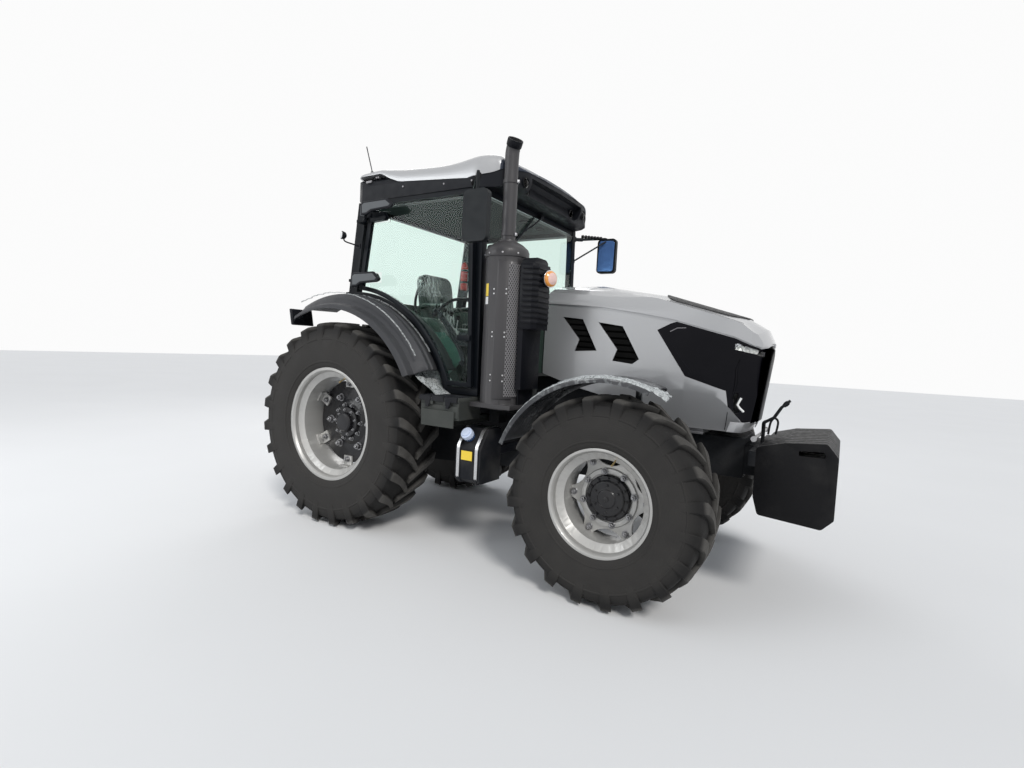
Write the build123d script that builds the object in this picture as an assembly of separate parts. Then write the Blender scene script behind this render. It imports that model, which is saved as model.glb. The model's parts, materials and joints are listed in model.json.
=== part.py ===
"""Farm tractor, about 90 kW, four-wheel drive, with a two-door cab and a tilting hood.

Lengths are millimetres. X runs forward, Y to the tractor's left and Z up. Inside this file X is
counted from the rear axle; save() moves every piece so that the origin is the middle of the
footprint, on the ground. A length called t is a distance from the centre plane to either side.
"""

from build123d import *
from math import cos, pi, radians, sin
import os

os.makedirs("parts", exist_ok=True)

# ---------------------------------------------------------------- driving dimensions
WHEELBASE = 2360
REAR_TRACK = 1580            # between the middles of the rear tyres
FRONT_TRACK = 1740
FRONT_REACH = 3530           # rear axle to the front face of the ballast weights
REAR_REACH = 1080            # rear axle to the ends of the lower links
SHIFT_X = (REAR_REACH - FRONT_REACH) / 2

FIT = 0.1                    # radial clearance of a pin or shaft in its bore
SEAT_GAP = 0.3               # between curved or soft pieces that all but touch
RUN_GAP = 6                  # beside turning and swinging pieces

# tyres and rims: rear 34 inch, front 24 inch
REAR_TYRE_D, REAR_TYRE_W, REAR_RIM_D, REAR_RIM_W = 1646, 467, 864, 385
FRONT_TYRE_D, FRONT_TYRE_W, FRONT_RIM_D, FRONT_RIM_W = 1256, 380, 610, 305
RIM_FLANGE = 28              # height of a rim's edge above its bead seat
RIM_WALL = 9
WELL_DEEP, WELL_STEP = 45, 25    # the drop centre's depth, and how far its sides slope in
RIM_EDGE, BEAD_SEAT = 12, 45     # thickness of a rim's edge, width of the seat beside it
DISC_HALF = 9                # half the thickness of a wheel disc
REAR_DISC_T, FRONT_DISC_T = -45, -30     # disc from the tyre's middle, outwards
REAR_HUB_R, FRONT_HUB_R = 120, 140
REAR_HUB_OUT, FRONT_HUB_OUT = 10, 32     # hub's outer face from the tyre's middle
REAR_R, FRONT_R = REAR_TYRE_D / 2, FRONT_TYRE_D / 2
REAR_T, FRONT_T = REAR_TRACK / 2, FRONT_TRACK / 2
SHAFT_R = 50                 # stub that carries each wheel's hub
SHAFT_IN_HUB = 45
HUB_BACK = 30                # from a disc's middle to the inner end of its hub
PLATE_R, BRACKET_R = 345, 290    # rear wheel's plate, and how far in the rim's brackets reach
SCALLOP_R, SCALLOP_AT = 130, 325 # cut-outs between the lobes of the front rim's disc
REAR_LUGS, FRONT_LUGS = 24, 20   # on each side of a tyre
REAR_LUG_DEEP, FRONT_LUG_DEEP = 42, 38

# drive line
CASE_HALF = 190
CASE_REAR, CASE_FRONT, ENGINE_FRONT = -230, 1500, WHEELBASE + 20
SUMP_FRONT, CRANKCASE_TOP = WHEELBASE - 320, 1300
RAIL_IN, RAIL_OUT, RAIL_FOOT, RAIL_TOP, RAIL_REAR = 190, 215, 740, 900, 1650
FRAME_FRONT = WHEELBASE + 650
CRADLE_REAR, CRADLE_TOP = WHEELBASE + 130, 1000

# front axle and steering
PIVOT_Z = 620                # height of the pin that the front axle hangs on
PIVOT_R, PIVOT_DEEP = 28, 35     # its two stubs, each reaching this far into the axle
SADDLE_REAR, SADDLE_FRONT = (WHEELBASE - 300, WHEELBASE - 240), (WHEELBASE + 140, WHEELBASE + 200)
KINGPIN_T = 620
KINGPIN_R = 22
YOKE_IN, YOKE_OUT = 100, 150     # from the axle's middle height to the yoke arms' faces
KNUCKLE_ARM = 170            # kingpin to steering-rod eye
STEER_ROD_R = 20
STEER_ROD_DROP = 20


# hood
HOOD_REAR, HOOD_NOSE = 1600, WHEELBASE + 780
HOOD_HALF = 380
HOOD_WALL = 10
HOOD_TOP = 2010
HOOD_HINGE_X, HOOD_HINGE_Z, HOOD_PIN_R = 1630, 1955, 12

# cab
CAB_HALF = 760
PILLAR_W = 60
TUB_HALF = 540               # half the width between the rear wheels
FLOOR_Z, FLOOR_THICK = 1150, 40
CAB_MOUNTS_X = (270, 1100)   # rear faces of the rubber mounts that carry the cab
CAB_FRONT = 1290
ROOF_Z = 2625
ROOF_TOP, ROOF_REAR_TOP = 2850, 2845
DOOR_THICK = 35
DOOR_GAP = 6
DOOR_EDGE = 34               # width of a door's frame round its pane
HINGE_EYE_R = 18
HINGE_T = CAB_HALF + DOOR_GAP + DOOR_THICK + HINGE_EYE_R + 5
HINGE_FOOT, HINGE_HEAD = (100, 1950), (190, 2560)    # x, z of two points on a door's hinge line
HINGE_PIN_R = 8

# rear fenders
FENDER_R, FENDER_WALL = 1045, 14
FENDER_LIP_R, FENDER_T = 925, 1030
SILL_W = 40

# three-point hitch
LINK_X, LINK_Z, LINK_T, LINK_PIN_R = -100, 520, 250, 14
LINK_HALF, LINK_TALL = 10, 36        # half the thickness and half the height of a lower link
LINK_END_T, LINK_END_Z, LINK_END_R, LINK_BALL_R = 400, 560, 45, 14.3
ROCK_X, ROCK_Z, ROCK_R = -120, 1190, 45
LIFT_REACH, LIFT_T, LIFT_PIN_R = 400, 262, 12
TOP_LINK_X, TOP_LINK_Z, TOP_PIN_R = -275, 950, 12.5
PTO_Z, PTO_R, PTO_OUT = 640, 17.5, 110
PTO_SHOULDER_R, PTO_DEEP = 24, 50
DRAWBAR_HALF, DRAWBAR_REACH, DRAWBAR_THICK = 40, 620, 40

MIRROR_REACH = 1095          # centre plane to a mirror's outer edge
TANK_OUT = 880               # centre plane to the outer face of the additive tank
CARRIER_DEEP = 95
WEIGHT_COUNT, WEIGHT_PITCH, WEIGHT_GAP = 10, 90, 3


# ---------------------------------------------------------------- helpers
def block(x0, x1, y0, y1, z0, z1):
    return Pos((x0 + x1) / 2, (y0 + y1) / 2, (z0 + z1) / 2) * Box(x1 - x0, y1 - y0, z1 - z0)


def bar_x(y, z, r, x0, x1):
    return Pos((x0 + x1) / 2, y, z) * Rot(0, 90, 0) * Cylinder(r, x1 - x0)


def bar_y(x, z, r, y0, y1):
    return Pos(x, (y0 + y1) / 2, z) * Rot(90, 0, 0) * Cylinder(r, y1 - y0)


def bar_z(x, y, r, z0, z1):
    return Pos(x, y, (z0 + z1) / 2) * Cylinder(r, z1 - z0)


def rod(a, b, r):
    """A round bar from point a to point b."""
    a, b = Vector(*a), Vector(*b)
    return Solid.make_cylinder(r, (b - a).length, Plane(origin=a, z_dir=b - a))


def outline(points, radius=0):
    """A closed wire through 3-D points, every corner rounded by radius where it is given."""
    if radius:
        return Wire(FilletPolyline(*points, radius=radius, close=True).edges())
    return Wire.make_polygon(points)


def slab_xz(points, y0, y1, radius=0):
    """Side-view outline (x, z), extruded from y0 to y1."""
    wire = outline([(x, y0, z) for x, z in points], radius)
    return Solid.extrude(Face(wire), Vector(0, y1 - y0, 0))


def slab_xy(points, z0, z1, radius=0):
    """Plan outline (x, y), extruded from z0 to z1."""
    wire = outline([(x, y, z0) for x, y in points], radius)
    return Solid.extrude(Face(wire), Vector(0, 0, z1 - z0))


def slab_yz(points, x0, x1, radius=0):
    """Front-view outline (y, z), extruded from x0 to x1."""
    wire = outline([(x0, y, z) for y, z in points], radius)
    return Solid.extrude(Face(wire), Vector(x1 - x0, 0, 0))


def whole_front(half):
    """Front-view outline (y, z) from its half at positive y."""
    return half + [(-y, z) for y, z in reversed(half) if y]


def whole_plan(half):
    """Plan outline (x, y) from its half at positive y."""
    return half + [(x, -y) for x, y in reversed(half) if y]


def other_side(shape):
    return shape.mirror(Plane.XZ)


def both(shape):
    """The shape and its mirror image, fused where they meet."""
    return shape + other_side(shape)


def spin_y(points, x, z, start_deg=0, turn_deg=360):
    """Section (t, r) turned about the line along Y at x, z; angles rise from +X towards +Z."""
    wire = Wire.make_polygon([(x + r, t, z) for t, r in points])
    axis = Axis((x, 0, z), (0, -1, 0))
    turned = Solid.revolve(Face(wire), turn_deg, axis)
    return turned.rotate(axis, start_deg) if start_deg else turned


def turned_x(points, x, y, z):
    """Section (distance along X, r) turned about the line along X at y, z."""
    wire = Wire.make_polygon([(x + d, y, z + r) for d, r in points])
    return Solid.revolve(Face(wire), 360, Axis((0, y, z), (1, 0, 0)))


def turned_z(points, x, y):
    """Section (r, z) turned about the upright line at x, y."""
    wire = Wire.make_polygon([(x + r, y, z) for r, z in points])
    return Solid.revolve(Face(wire), 360, Axis((x, y, 0), (0, 0, 1)))


def faceted(outlines, ring=False):
    """Solid with flat facets between outlines of equally many corners, in a ring or closed at both ends."""
    faces = [] if ring else [Face(Wire.make_polygon(outlines[i])) for i in (0, -1)]
    for near, far in zip(outlines, outlines[1:] + outlines[:1] if ring else outlines[1:]):
        for i, corner in enumerate(near):
            j = (i + 1) % len(near)
            quad = [corner, near[j], far[j], far[i]]
            for panel in [quad] if ring else [quad[:3], quad[2:] + quad[:1]]:
                faces.append(Face(Wire.make_polygon(panel)))
    return Solid(Shell(faces))


def save(name, *solids):
    flat = [s for shape in solids for s in shape.solids()]
    moved = [s.moved(Location((SHIFT_X, 0, 0))) for s in flat]
    whole = moved[0] if len(moved) == 1 else Compound(children=moved)
    export_step(whole, f"parts/{name}.step")


# ---------------------------------------------------------------- wheels
def tyre(x, t_mid, outer_d, width, rim_d, lugs, lug_deep, rake):
    """Left tyre: a carcass in flat facets, one for each lug's pitch, and two staggered rows of raked lugs."""
    r, bead = outer_d / 2, rim_d / 2
    wall, tread = r - bead, r - lug_deep
    snug = (bead + SEAT_GAP) / cos(pi / lugs)        # the facets' middles just clear the rim

    def at(deg, share, radius):
        return x + radius * cos(radians(deg)), t_mid + share * width, r + radius * sin(radians(deg))

    section = [(-0.37, snug), (-0.50, bead + 0.42 * wall), (-0.44, tread), (0.44, tread),
               (0.50, bead + 0.42 * wall), (0.37, snug)]     # share of the width, radius
    pitch = 360 / lugs
    carcass = faceted([[at(i * pitch + 3, share, radius) for i in range(lugs)] for share, radius in section],
                      ring=True)
    ends = [  # share of the width, degrees ahead, half-width in degrees, outer and inner radius
        (0.465, 0, 2.45, r - 0.05 * wall, bead + 0.55 * wall),
        (-0.03, -12, 1.60, r, tread - 22),
    ]
    bars = []
    for i in range(2 * lugs):
        hand = 1 if i % 2 else -1
        outlines = []
        for share, ahead, half, top, foot in ends:
            mid = i * pitch / 2 + ahead * rake
            corners = [(-1.2 * half, foot), (-half, top), (half, top), (1.2 * half, foot)]
            outlines.append([at(mid + d * rake, hand * share, radius) for d, radius in corners])
        bars.append(faceted(outlines))
    return carcass.fuse(*bars)


def barrel(x, z, t_mid, rim_d, rim_w):
    """Left rim without its disc: stepped edges, bead seats and drop centre."""
    seat, edge = rim_d / 2, rim_d / 2 + RIM_FLANGE
    half, well = rim_w / 2, rim_d / 2 - WELL_DEEP
    top, low = half - BEAD_SEAT, half - BEAD_SEAT - WELL_STEP      # t where each slope starts and ends
    back = RIM_WALL * 0.6                                          # the inside of a slope lies outside it
    inner, deep = seat - RIM_WALL, well - RIM_WALL
    outer = [(-half - RIM_EDGE, edge), (-half - RIM_EDGE, inner + 12), (-half + 8, inner), (-top - back, inner),
             (-low - back, deep)]
    section = outer + [(-t, r) for t, r in reversed(outer)] + [
        (half, edge), (half, seat), (top, seat), (low, well), (-low, well), (-top, seat), (-half, seat),
        (-half, edge)]
    return spin_y([(t_mid + t, radius) for t, radius in section], x, z)


def rear_rim(x, z, t_mid, rim_d, rim_w, disc_t):
    """Left rear rim with the six brackets that its plate is bolted to."""
    deep = rim_d / 2 - WELL_DEEP - RIM_WALL
    face = t_mid + disc_t + DISC_HALF
    whole = barrel(x, z, t_mid, rim_d, rim_w)
    for i in range(6):
        turn = Axis((x, 0, z), (0, -1, 0))
        bracket = block(x + BRACKET_R, x + deep + 5, face, face + 16, z - 45, z + 45)
        bracket += block(x + deep - 12, x + deep + 5, face, face + 60, z - 45, z + 45)
        whole += bracket.rotate(turn, 30 + 60 * i)
    return whole


def front_rim(x, z, t_mid, rim_d, rim_w, disc_t):
    """Left front rim: its disc has six lobes, with the barrel open between them."""
    deep = rim_d / 2 - WELL_DEEP - RIM_WALL
    mid = t_mid + disc_t
    disc = bar_y(x, z, deep + 5, mid - DISC_HALF, mid + DISC_HALF)
    for i in range(6):
        turn = radians(60 * i + 30)
        at_x, at_z = x + SCALLOP_AT * cos(turn), z + SCALLOP_AT * sin(turn)
        disc -= bar_y(at_x, at_z, SCALLOP_R, mid - 20, mid + 20)
    disc += spin_y([(mid, FRONT_HUB_R + 10), (mid + 22, FRONT_HUB_R + 10), (mid + 22, 176), (mid, 186)], x, z)
    disc -= bar_y(x, z, FRONT_HUB_R + SEAT_GAP, mid - 50, mid + 50)
    return barrel(x, z, t_mid, rim_d, rim_w) + disc


def rear_hub(x, z, t_mid):
    """Left rear hub with the dished plate that carries the rim, and the end cup of the axle."""
    mid, back = REAR_DISC_T, REAR_DISC_T - HUB_BACK
    bore, out = SHAFT_R + FIT, REAR_HUB_OUT
    section = [(back, bore), (back, REAR_HUB_R), (mid - DISC_HALF, REAR_HUB_R + 20), (mid - DISC_HALF, PLATE_R),
               (mid + DISC_HALF, PLATE_R), (mid + DISC_HALF, 190), (mid + DISC_HALF + 16, 160),
               (mid + DISC_HALF + 16, 132), (out, 122), (out, 84), (out + 30, 78), (out + 38, 66), (out + 38, 0),
               (back + SHAFT_IN_HUB, 0), (back + SHAFT_IN_HUB, bore)]
    return spin_y([(t_mid + t, r) for t, r in section], x, z)


def front_hub(x, z, t_mid):
    """Left front hub: a flange behind the disc and the domed housing of the final drive through it."""
    mid, back = FRONT_DISC_T, FRONT_DISC_T - HUB_BACK
    bore, out, r = SHAFT_R + FIT, FRONT_HUB_OUT, FRONT_HUB_R
    section = [(back, bore), (back, r + 20), (mid - DISC_HALF, r + 28), (mid - DISC_HALF, r), (out - 30, r),
               (out - 20, r - 6), (out - 20, r - 26), (out - 8, r - 38), (out - 8, 60), (out, 52), (out, 0),
               (back + SHAFT_IN_HUB, 0), (back + SHAFT_IN_HUB, bore)]
    return spin_y([(t_mid + t, radius) for t, radius in section], x, z)


def wheels():
    axles = [  # place, x, wheel radius, tyre's middle, then the sizes of the tyre and of the rim
        ("rear", 0, REAR_R, REAR_T, (REAR_TYRE_D, REAR_TYRE_W, REAR_RIM_D, REAR_LUGS, REAR_LUG_DEEP, 1.0),
         rear_rim, (REAR_RIM_D, REAR_RIM_W, REAR_DISC_T), rear_hub),
        ("front", WHEELBASE, FRONT_R, FRONT_T,
         (FRONT_TYRE_D, FRONT_TYRE_W, FRONT_RIM_D, FRONT_LUGS, FRONT_LUG_DEEP, 1.2),
         front_rim, (FRONT_RIM_D, FRONT_RIM_W, FRONT_DISC_T), front_hub),
    ]
    for place, x, radius, t_mid, tyre_sizes, make_rim, rim_sizes, make_hub in axles:
        pieces = {
            "tyre": tyre(x, t_mid, *tyre_sizes),
            "rim": make_rim(x, radius, t_mid, *rim_sizes),
            "hub": make_hub(x, radius, t_mid),
        }
        for kind, left in pieces.items():
            save(f"{kind}_{place}_left", left)
            save(f"{kind}_{place}_right", other_side(left))


# ---------------------------------------------------------------- drive line and frame
def rear_hub_face():
    return REAR_T + REAR_DISC_T - HUB_BACK


def transmission():
    """Clutch housing, gearbox and rear axle in one casting, with the lift cover on top."""
    case = slab_xz([(CASE_REAR, 560), (CASE_REAR, 1010), (250, 1060), (820, 1010), (CASE_FRONT, 960),
                    (CASE_FRONT, 560), (900, 520), (300, 480), (-150, 480)], -CASE_HALF, CASE_HALF)
    hub_face = rear_hub_face()
    trumpet = spin_y([(0, 0), (0, 175), (330, 150), (hub_face - 60, 112), (hub_face - RUN_GAP, 112),
                      (hub_face - RUN_GAP, SHAFT_R), (hub_face + SHAFT_IN_HUB - RUN_GAP, SHAFT_R),
                      (hub_face + SHAFT_IN_HUB - RUN_GAP, 0)], 0, REAR_R)
    cover = block(CASE_REAR, 230, -150, 150, 1000, 1120)
    ear = bar_y(ROCK_X, ROCK_Z, ROCK_R + 25, 90, 150) + block(ROCK_X - 60, ROCK_X + 60, 90, 150, 1110, ROCK_Z)
    link_pin = bar_y(LINK_X, LINK_Z, LINK_PIN_R, CASE_HALF - 10, LINK_T + 40)
    top_ear = block(TOP_LINK_X - 25, CASE_REAR + 10, 32, 52, TOP_LINK_Z - 40, TOP_LINK_Z + 40)
    top_pin = bar_y(TOP_LINK_X, TOP_LINK_Z, TOP_PIN_R, -60, 60)
    cab_mounts = [block(x, x + 90, 150, 300, 900, FLOOR_Z - FLOOR_THICK) for x in CAB_MOUNTS_X]
    whole = case + cover + both(trumpet) + both(ear) + both(link_pin) + both(top_ear) + top_pin
    for post in cab_mounts:
        whole += both(post)
    whole -= bar_y(ROCK_X, ROCK_Z, ROCK_R + FIT, -200, 200)
    return whole - bar_x(0, PTO_Z, PTO_SHOULDER_R + FIT, CASE_REAR - 1, CASE_REAR + PTO_DEEP + 5)


def engine():
    """Engine as one block with its sump, crankcase and head."""
    sump = slab_yz(whole_front([(0, 560), (120, 560), (150, 780), (0, 780)]), CASE_FRONT, SUMP_FRONT)
    case = slab_yz(whole_front([(0, 775), (RAIL_IN, 775), (RAIL_IN, 1000), (270, 1060), (270, CRANKCASE_TOP),
                                (0, CRANKCASE_TOP)]), CASE_FRONT, ENGINE_FRONT)
    head = slab_yz(whole_front([(0, CRANKCASE_TOP - 1), (200, CRANKCASE_TOP - 1), (150, 1580), (0, 1580)]),
                   HOOD_REAR + 30, ENGINE_FRONT)
    return sump + case + head


def radiator():
    """Cooler pack standing on the front frame."""
    return block(WHEELBASE + 240, WHEELBASE + 400, -270, 270, CRADLE_TOP, 1600)


def front_frame():
    """Two rails beside the engine, the cast cradle in front and the saddles for the axle's pivot."""
    rail = block(RAIL_REAR, FRAME_FRONT, RAIL_IN, RAIL_OUT, RAIL_FOOT, RAIL_TOP)
    cradle = block(CRADLE_REAR, FRAME_FRONT, -RAIL_OUT, RAIL_OUT, RAIL_FOOT, CRADLE_TOP)
    whole = both(rail) + cradle
    for x0, x1 in (SADDLE_REAR, SADDLE_FRONT):
        half = 150 if x1 < ENGINE_FRONT else RAIL_OUT
        web = slab_yz(whole_front([(0, PIVOT_Z - 70), (60, PIVOT_Z - 70), (90, PIVOT_Z), (RAIL_OUT, 700),
                                   (RAIL_OUT, RAIL_TOP if half > 150 else RAIL_FOOT), (0, RAIL_FOOT)]), x0, x1)
        whole += web
    whole += bar_x(0, PIVOT_Z, PIVOT_R, SADDLE_REAR[0], SADDLE_REAR[1] + PIVOT_DEEP)
    return whole + bar_x(0, PIVOT_Z, PIVOT_R, SADDLE_FRONT[0] - PIVOT_DEEP, SADDLE_FRONT[1])


def front_axle():
    """Driven beam on the pivot pin, with a yoke at each end for the kingpins."""
    x, z = WHEELBASE, PIVOT_Z
    half = [(0, z - 80), (200, z - 80), (330, z - 60), (500, z - 60), (500, z + 50), (330, z + 50),
            (200, z + 70), (0, z + 70)]
    beam = slab_yz(whole_front(half), x - 70, x + 70)
    bowl = bar_x(0, z, 125, x - 110, x + 110)
    nose = bar_x(0, z, 70, SADDLE_REAR[1] + 1, SADDLE_FRONT[0] - 1)
    yoke = block(x - 38, x + 38, 480, 540, z - YOKE_OUT, z + YOKE_OUT)
    for z0, z1 in ((z - YOKE_OUT, z - YOKE_IN), (z + YOKE_IN, z + YOKE_OUT)):
        yoke += block(x - 38, x + 38, 500, KINGPIN_T, z0, z1) + bar_z(x, KINGPIN_T, 50, z0, z1)
    yoke -= bar_z(x, KINGPIN_T, KINGPIN_R + FIT, z - 300, z + 300)
    cylinder = bar_y(x - KNUCKLE_ARM, z - STEER_ROD_DROP, 40, -190, 190)
    stay = block(x - KNUCKLE_ARM, x, 120, 160, z - 45, z + 5)
    whole = beam + bowl + nose + both(yoke) + cylinder + both(stay)
    whole -= bar_y(x - KNUCKLE_ARM, z - STEER_ROD_DROP, STEER_ROD_R + FIT, -300, 300)
    return whole - bar_x(0, z, PIVOT_R + FIT, x - 400, x + 400)


def steering_rod():
    """Double-ended piston rod; its eyes lie over the knuckle arms, just clear of them."""
    x, z = WHEELBASE - KNUCKLE_ARM, PIVOT_Z - STEER_ROD_DROP
    eye = bar_z(x, KINGPIN_T, 34, z - STEER_ROD_R - 2, z + STEER_ROD_R + 2)
    return bar_y(x, z, STEER_ROD_R, -KINGPIN_T, KINGPIN_T) + eye + other_side(eye)


def knuckle():
    """Left swivel housing: kingpin between the yoke's arms, hub carrier, stub and steering arm."""
    x, z = WHEELBASE, FRONT_R
    hub_face = FRONT_T + FRONT_DISC_T - HUB_BACK
    body = bar_z(x, KINGPIN_T, 46, PIVOT_Z - YOKE_IN + 2, PIVOT_Z + YOKE_IN - 2)
    pin = bar_z(x, KINGPIN_T, KINGPIN_R, PIVOT_Z - YOKE_OUT, PIVOT_Z + YOKE_OUT)
    drum = bar_y(x, z, 90, KINGPIN_T + 10, hub_face - RUN_GAP)
    drum += bar_y(x, z, 120, hub_face - RUN_GAP - 55, hub_face - RUN_GAP)
    stub = bar_y(x, z, SHAFT_R, KINGPIN_T, hub_face + SHAFT_IN_HUB - RUN_GAP)
    arm_top = PIVOT_Z - STEER_ROD_DROP - STEER_ROD_R - 2 - 5
    arm = block(x - KNUCKLE_ARM, x, KINGPIN_T - 22, KINGPIN_T + 22, arm_top - 26, arm_top)
    arm += bar_z(x - KNUCKLE_ARM, KINGPIN_T, 34, arm_top - 26, arm_top)
    pad = block(x + 55, x + 105, 632, 672, z - 40, z + 90)
    return body + pin + drum + stub + arm + pad


# ---------------------------------------------------------------- fenders
FRONT_FENDER_R, FRONT_FENDER_WALL = 728, 6
FRONT_FENDER_T0, FRONT_FENDER_T1 = 720, 1065


def front_fender():
    """Left mudguard over the rear and top of the tyre, with its stay down to the knuckle."""
    r, w = FRONT_FENDER_R, FRONT_FENDER_WALL
    a, b = FRONT_FENDER_T0, FRONT_FENDER_T1
    section = [(a, r - 26), (a, r), (a + 40, r + 12), (b - 40, r + 12), (b, r), (b, r - 26), (b - w, r - 26),
               (b - w, r - w), (b - 42, r + 12 - w), (a + 42, r + 12 - w), (a + w, r - w), (a + w, r - 26)]
    shell = spin_y(section, WHEELBASE, FRONT_R, 68, 90)
    strap = spin_y([(640, r - 14), (640, r - 6), (1000, r - 6), (1000, r - 14)], WHEELBASE, FRONT_R, 82, 5)
    pads = spin_y([(800, r - 7), (800, r + 8), (980, r + 8), (980, r - 7)], WHEELBASE, FRONT_R, 82, 5)
    stay = block(WHEELBASE + 62, WHEELBASE + 102, 640, 664, FRONT_R + 90, FRONT_R + r - 12)
    return shell + strap + pads + stay


def rear_fender():
    """Left fender: an arch beside the cab with two raised ribs, then a lower, wider lip over the tread."""
    r, w, lip = FENDER_R, FENDER_WALL, FENDER_LIP_R
    outer = [(TUB_HALF, r), (800, r), (810, r + 12), (824, r + 12), (834, r), (852, r), (862, r + 10), (876, r + 10),
             (886, r - 3), (930, r - 38), (950, r - 70), (985, lip + 42), (1008, lip + 34), (FENDER_T, lip)]
    inner = [(FENDER_T - w, lip), (1000, lip + 20), (978, lip + 27), (938, r - 84), (920, r - 52), (880, r - w - 6),
             (TUB_HALF, r - w)]
    return spin_y(outer + inner, 0, REAR_R, 28, 88)


# ---------------------------------------------------------------- hood
MASK = [(HOOD_NOSE - 700, 1670), (HOOD_NOSE - 575, 1735), (HOOD_NOSE - 195, 1640), (HOOD_NOSE + 270, 1530),
        (HOOD_NOSE + 270, 1110), (HOOD_NOSE - 120, 1105), (HOOD_NOSE - 230, 1200), (HOOD_NOSE - 247, 1300),
        (HOOD_NOSE - 500, 1376)]
CREASE = [(HOOD_REAR - 100, 1852), (HOOD_REAR + 450, 1822), (HOOD_NOSE - 575, 1750), (HOOD_NOSE - 195, 1655),
          (HOOD_NOSE + 270, 1545)]
VENTS = [  # side-view corners of the two air openings in each side panel
    [(HOOD_REAR + 140, 1750), (HOOD_REAR + 300, 1735), (HOOD_REAR + 420, 1515), (HOOD_REAR + 250, 1505),
     (HOOD_REAR + 280, 1590)],
    [(HOOD_REAR + 420, 1715), (HOOD_REAR + 600, 1690), (HOOD_REAR + 730, 1470), (HOOD_REAR + 685, 1435),
     (HOOD_REAR + 540, 1450), (HOOD_REAR + 570, 1530)],
]
GRILLE_HALF, GRILLE_REAR, GRILLE_FRONT = 150, HOOD_NOSE - 700, HOOD_NOSE - 185   # in the hood's top
SIDE_STEP, MASK_STEP, GRILLE_STEP = 12, 6, 9     # how far each lies under the hood's upper surface
LAMP_TOP, LAMP_FOOT, LAMP_REAR = 1606, 1540, HOOD_NOSE - 215
STRIP_TOP, STRIP_FOOT = 1290, 1165
LOUVRES = 6


def hood_form(inset):
    """The hood's outer form or, with an inset, the same form smaller and open below and behind."""
    rear = HOOD_REAR - (100 if inset > SIDE_STEP else 0)
    drop = 400 if inset > SIDE_STEP else 0
    n, h, top = HOOD_NOSE - inset, HOOD_HALF - inset, HOOD_TOP - inset
    side = [(rear, 1330 - drop), (rear, top), (1900, top - 5), (2420, top - 85), (n - 170, top - 245),
            (n - 60, 1700 - inset), (n, 1570), (n - 20, 1400), (n - 115, 1040 - drop), (2640, 1040 - drop),
            (2480, 1110 - drop), (1900, 1240 - drop)]
    plan = whole_plan([(rear - 50, h), (2500, h), (n - 270, h - 12), (n - 90, h - 70), (n - 35, h - 130),
                       (n - 10, h - 220), (n, 0)])
    front = whole_front([(0, 600), (h - 85, 600), (h - 80, 1050), (h - 5, 1280), (h, 1400), (h - 10, 1830),
                         (h - 28, 1885), (h - 70, 1932), (h - 150, 1968 - inset), (h - 260, 1990 - inset),
                         (0, 2012 - inset)])
    return slab_xz(side, -500, 500) & slab_xy(plan, 600, 2200) & slab_yz(front, 1300, 3400)


def hood_sheet(step):
    """The hood's skin, one wall thick, lying a step below its upper surface."""
    return hood_form(step) - hood_form(step + HOOD_WALL)


def hood():
    """Upper panel that overhangs the side panels along a crease, the black mask, and the inlays."""
    below = slab_xz(CREASE + [(CREASE[-1][0], 500), (CREASE[0][0], 500)], -500, 500)
    above = slab_xz(CREASE + [(CREASE[-1][0], 2300), (CREASE[0][0], 2300)], -500, 500)
    mask_zone = slab_xz(MASK, -500, 500)
    grille_zone = slab_xy(whole_plan([(GRILLE_REAR, GRILLE_HALF - 40), (GRILLE_REAR + 60, GRILLE_HALF),
                                      (GRILLE_FRONT - 60, GRILLE_HALF - 10), (GRILLE_FRONT, GRILLE_HALF - 50)]),
                          1600, 2200)
    lip = (hood_form(0) - hood_form(SIDE_STEP + HOOD_WALL)) & above & slab_xz(
        [(x, z) for x, z in CREASE] + [(x, z + 16) for x, z in reversed(CREASE)], -500, 500)
    shell = (hood_sheet(SIDE_STEP) & below) + (hood_sheet(0) & above) + lip - mask_zone - grille_zone
    for vent in VENTS:
        shell -= slab_xz(vent, -500, 500)
    lug = slab_xz([(HOOD_HINGE_X - 25, HOOD_HINGE_Z), (HOOD_HINGE_X - 25, HOOD_TOP - 17),
                   (HOOD_HINGE_X + 80, HOOD_TOP - 17), (HOOD_HINGE_X + 25, HOOD_HINGE_Z)], 110, 130)
    lug += bar_y(HOOD_HINGE_X, HOOD_HINGE_Z, 25, 110, 130)
    lug -= bar_y(HOOD_HINGE_X, HOOD_HINGE_Z, HOOD_PIN_R + FIT, 0, 200)
    mask = hood_sheet(SIDE_STEP + MASK_STEP) & mask_zone
    mask -= lamp_zones(0)
    grille = hood_sheet(GRILLE_STEP) & grille_zone & above
    return shell + both(lug), mask, grille


def lamp_zones(gap):
    """The places of the headlamps and of the light strips below them, less a gap all round."""
    n = HOOD_NOSE
    lamp = slab_xz([(LAMP_REAR + gap, LAMP_FOOT + 22 + gap), (LAMP_REAR + gap, LAMP_TOP - gap),
                    (n + 100, LAMP_TOP - 50 - gap), (n + 100, LAMP_FOOT - 30 + gap)], 185 + gap, 400)
    strip = slab_xz([(n - 190 + gap, STRIP_FOOT + gap), (n - 205 + gap, STRIP_TOP - gap),
                     (n - 165 - gap, STRIP_TOP - gap), (n - 150 - gap, STRIP_FOOT + gap)], 200, 400)
    return both(lamp) + both(strip)


def headlamps():
    """Lenses of the headlamps and of the upright light strips, set in the mask."""
    return hood_sheet(SIDE_STEP + MASK_STEP) & lamp_zones(SEAT_GAP)


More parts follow.
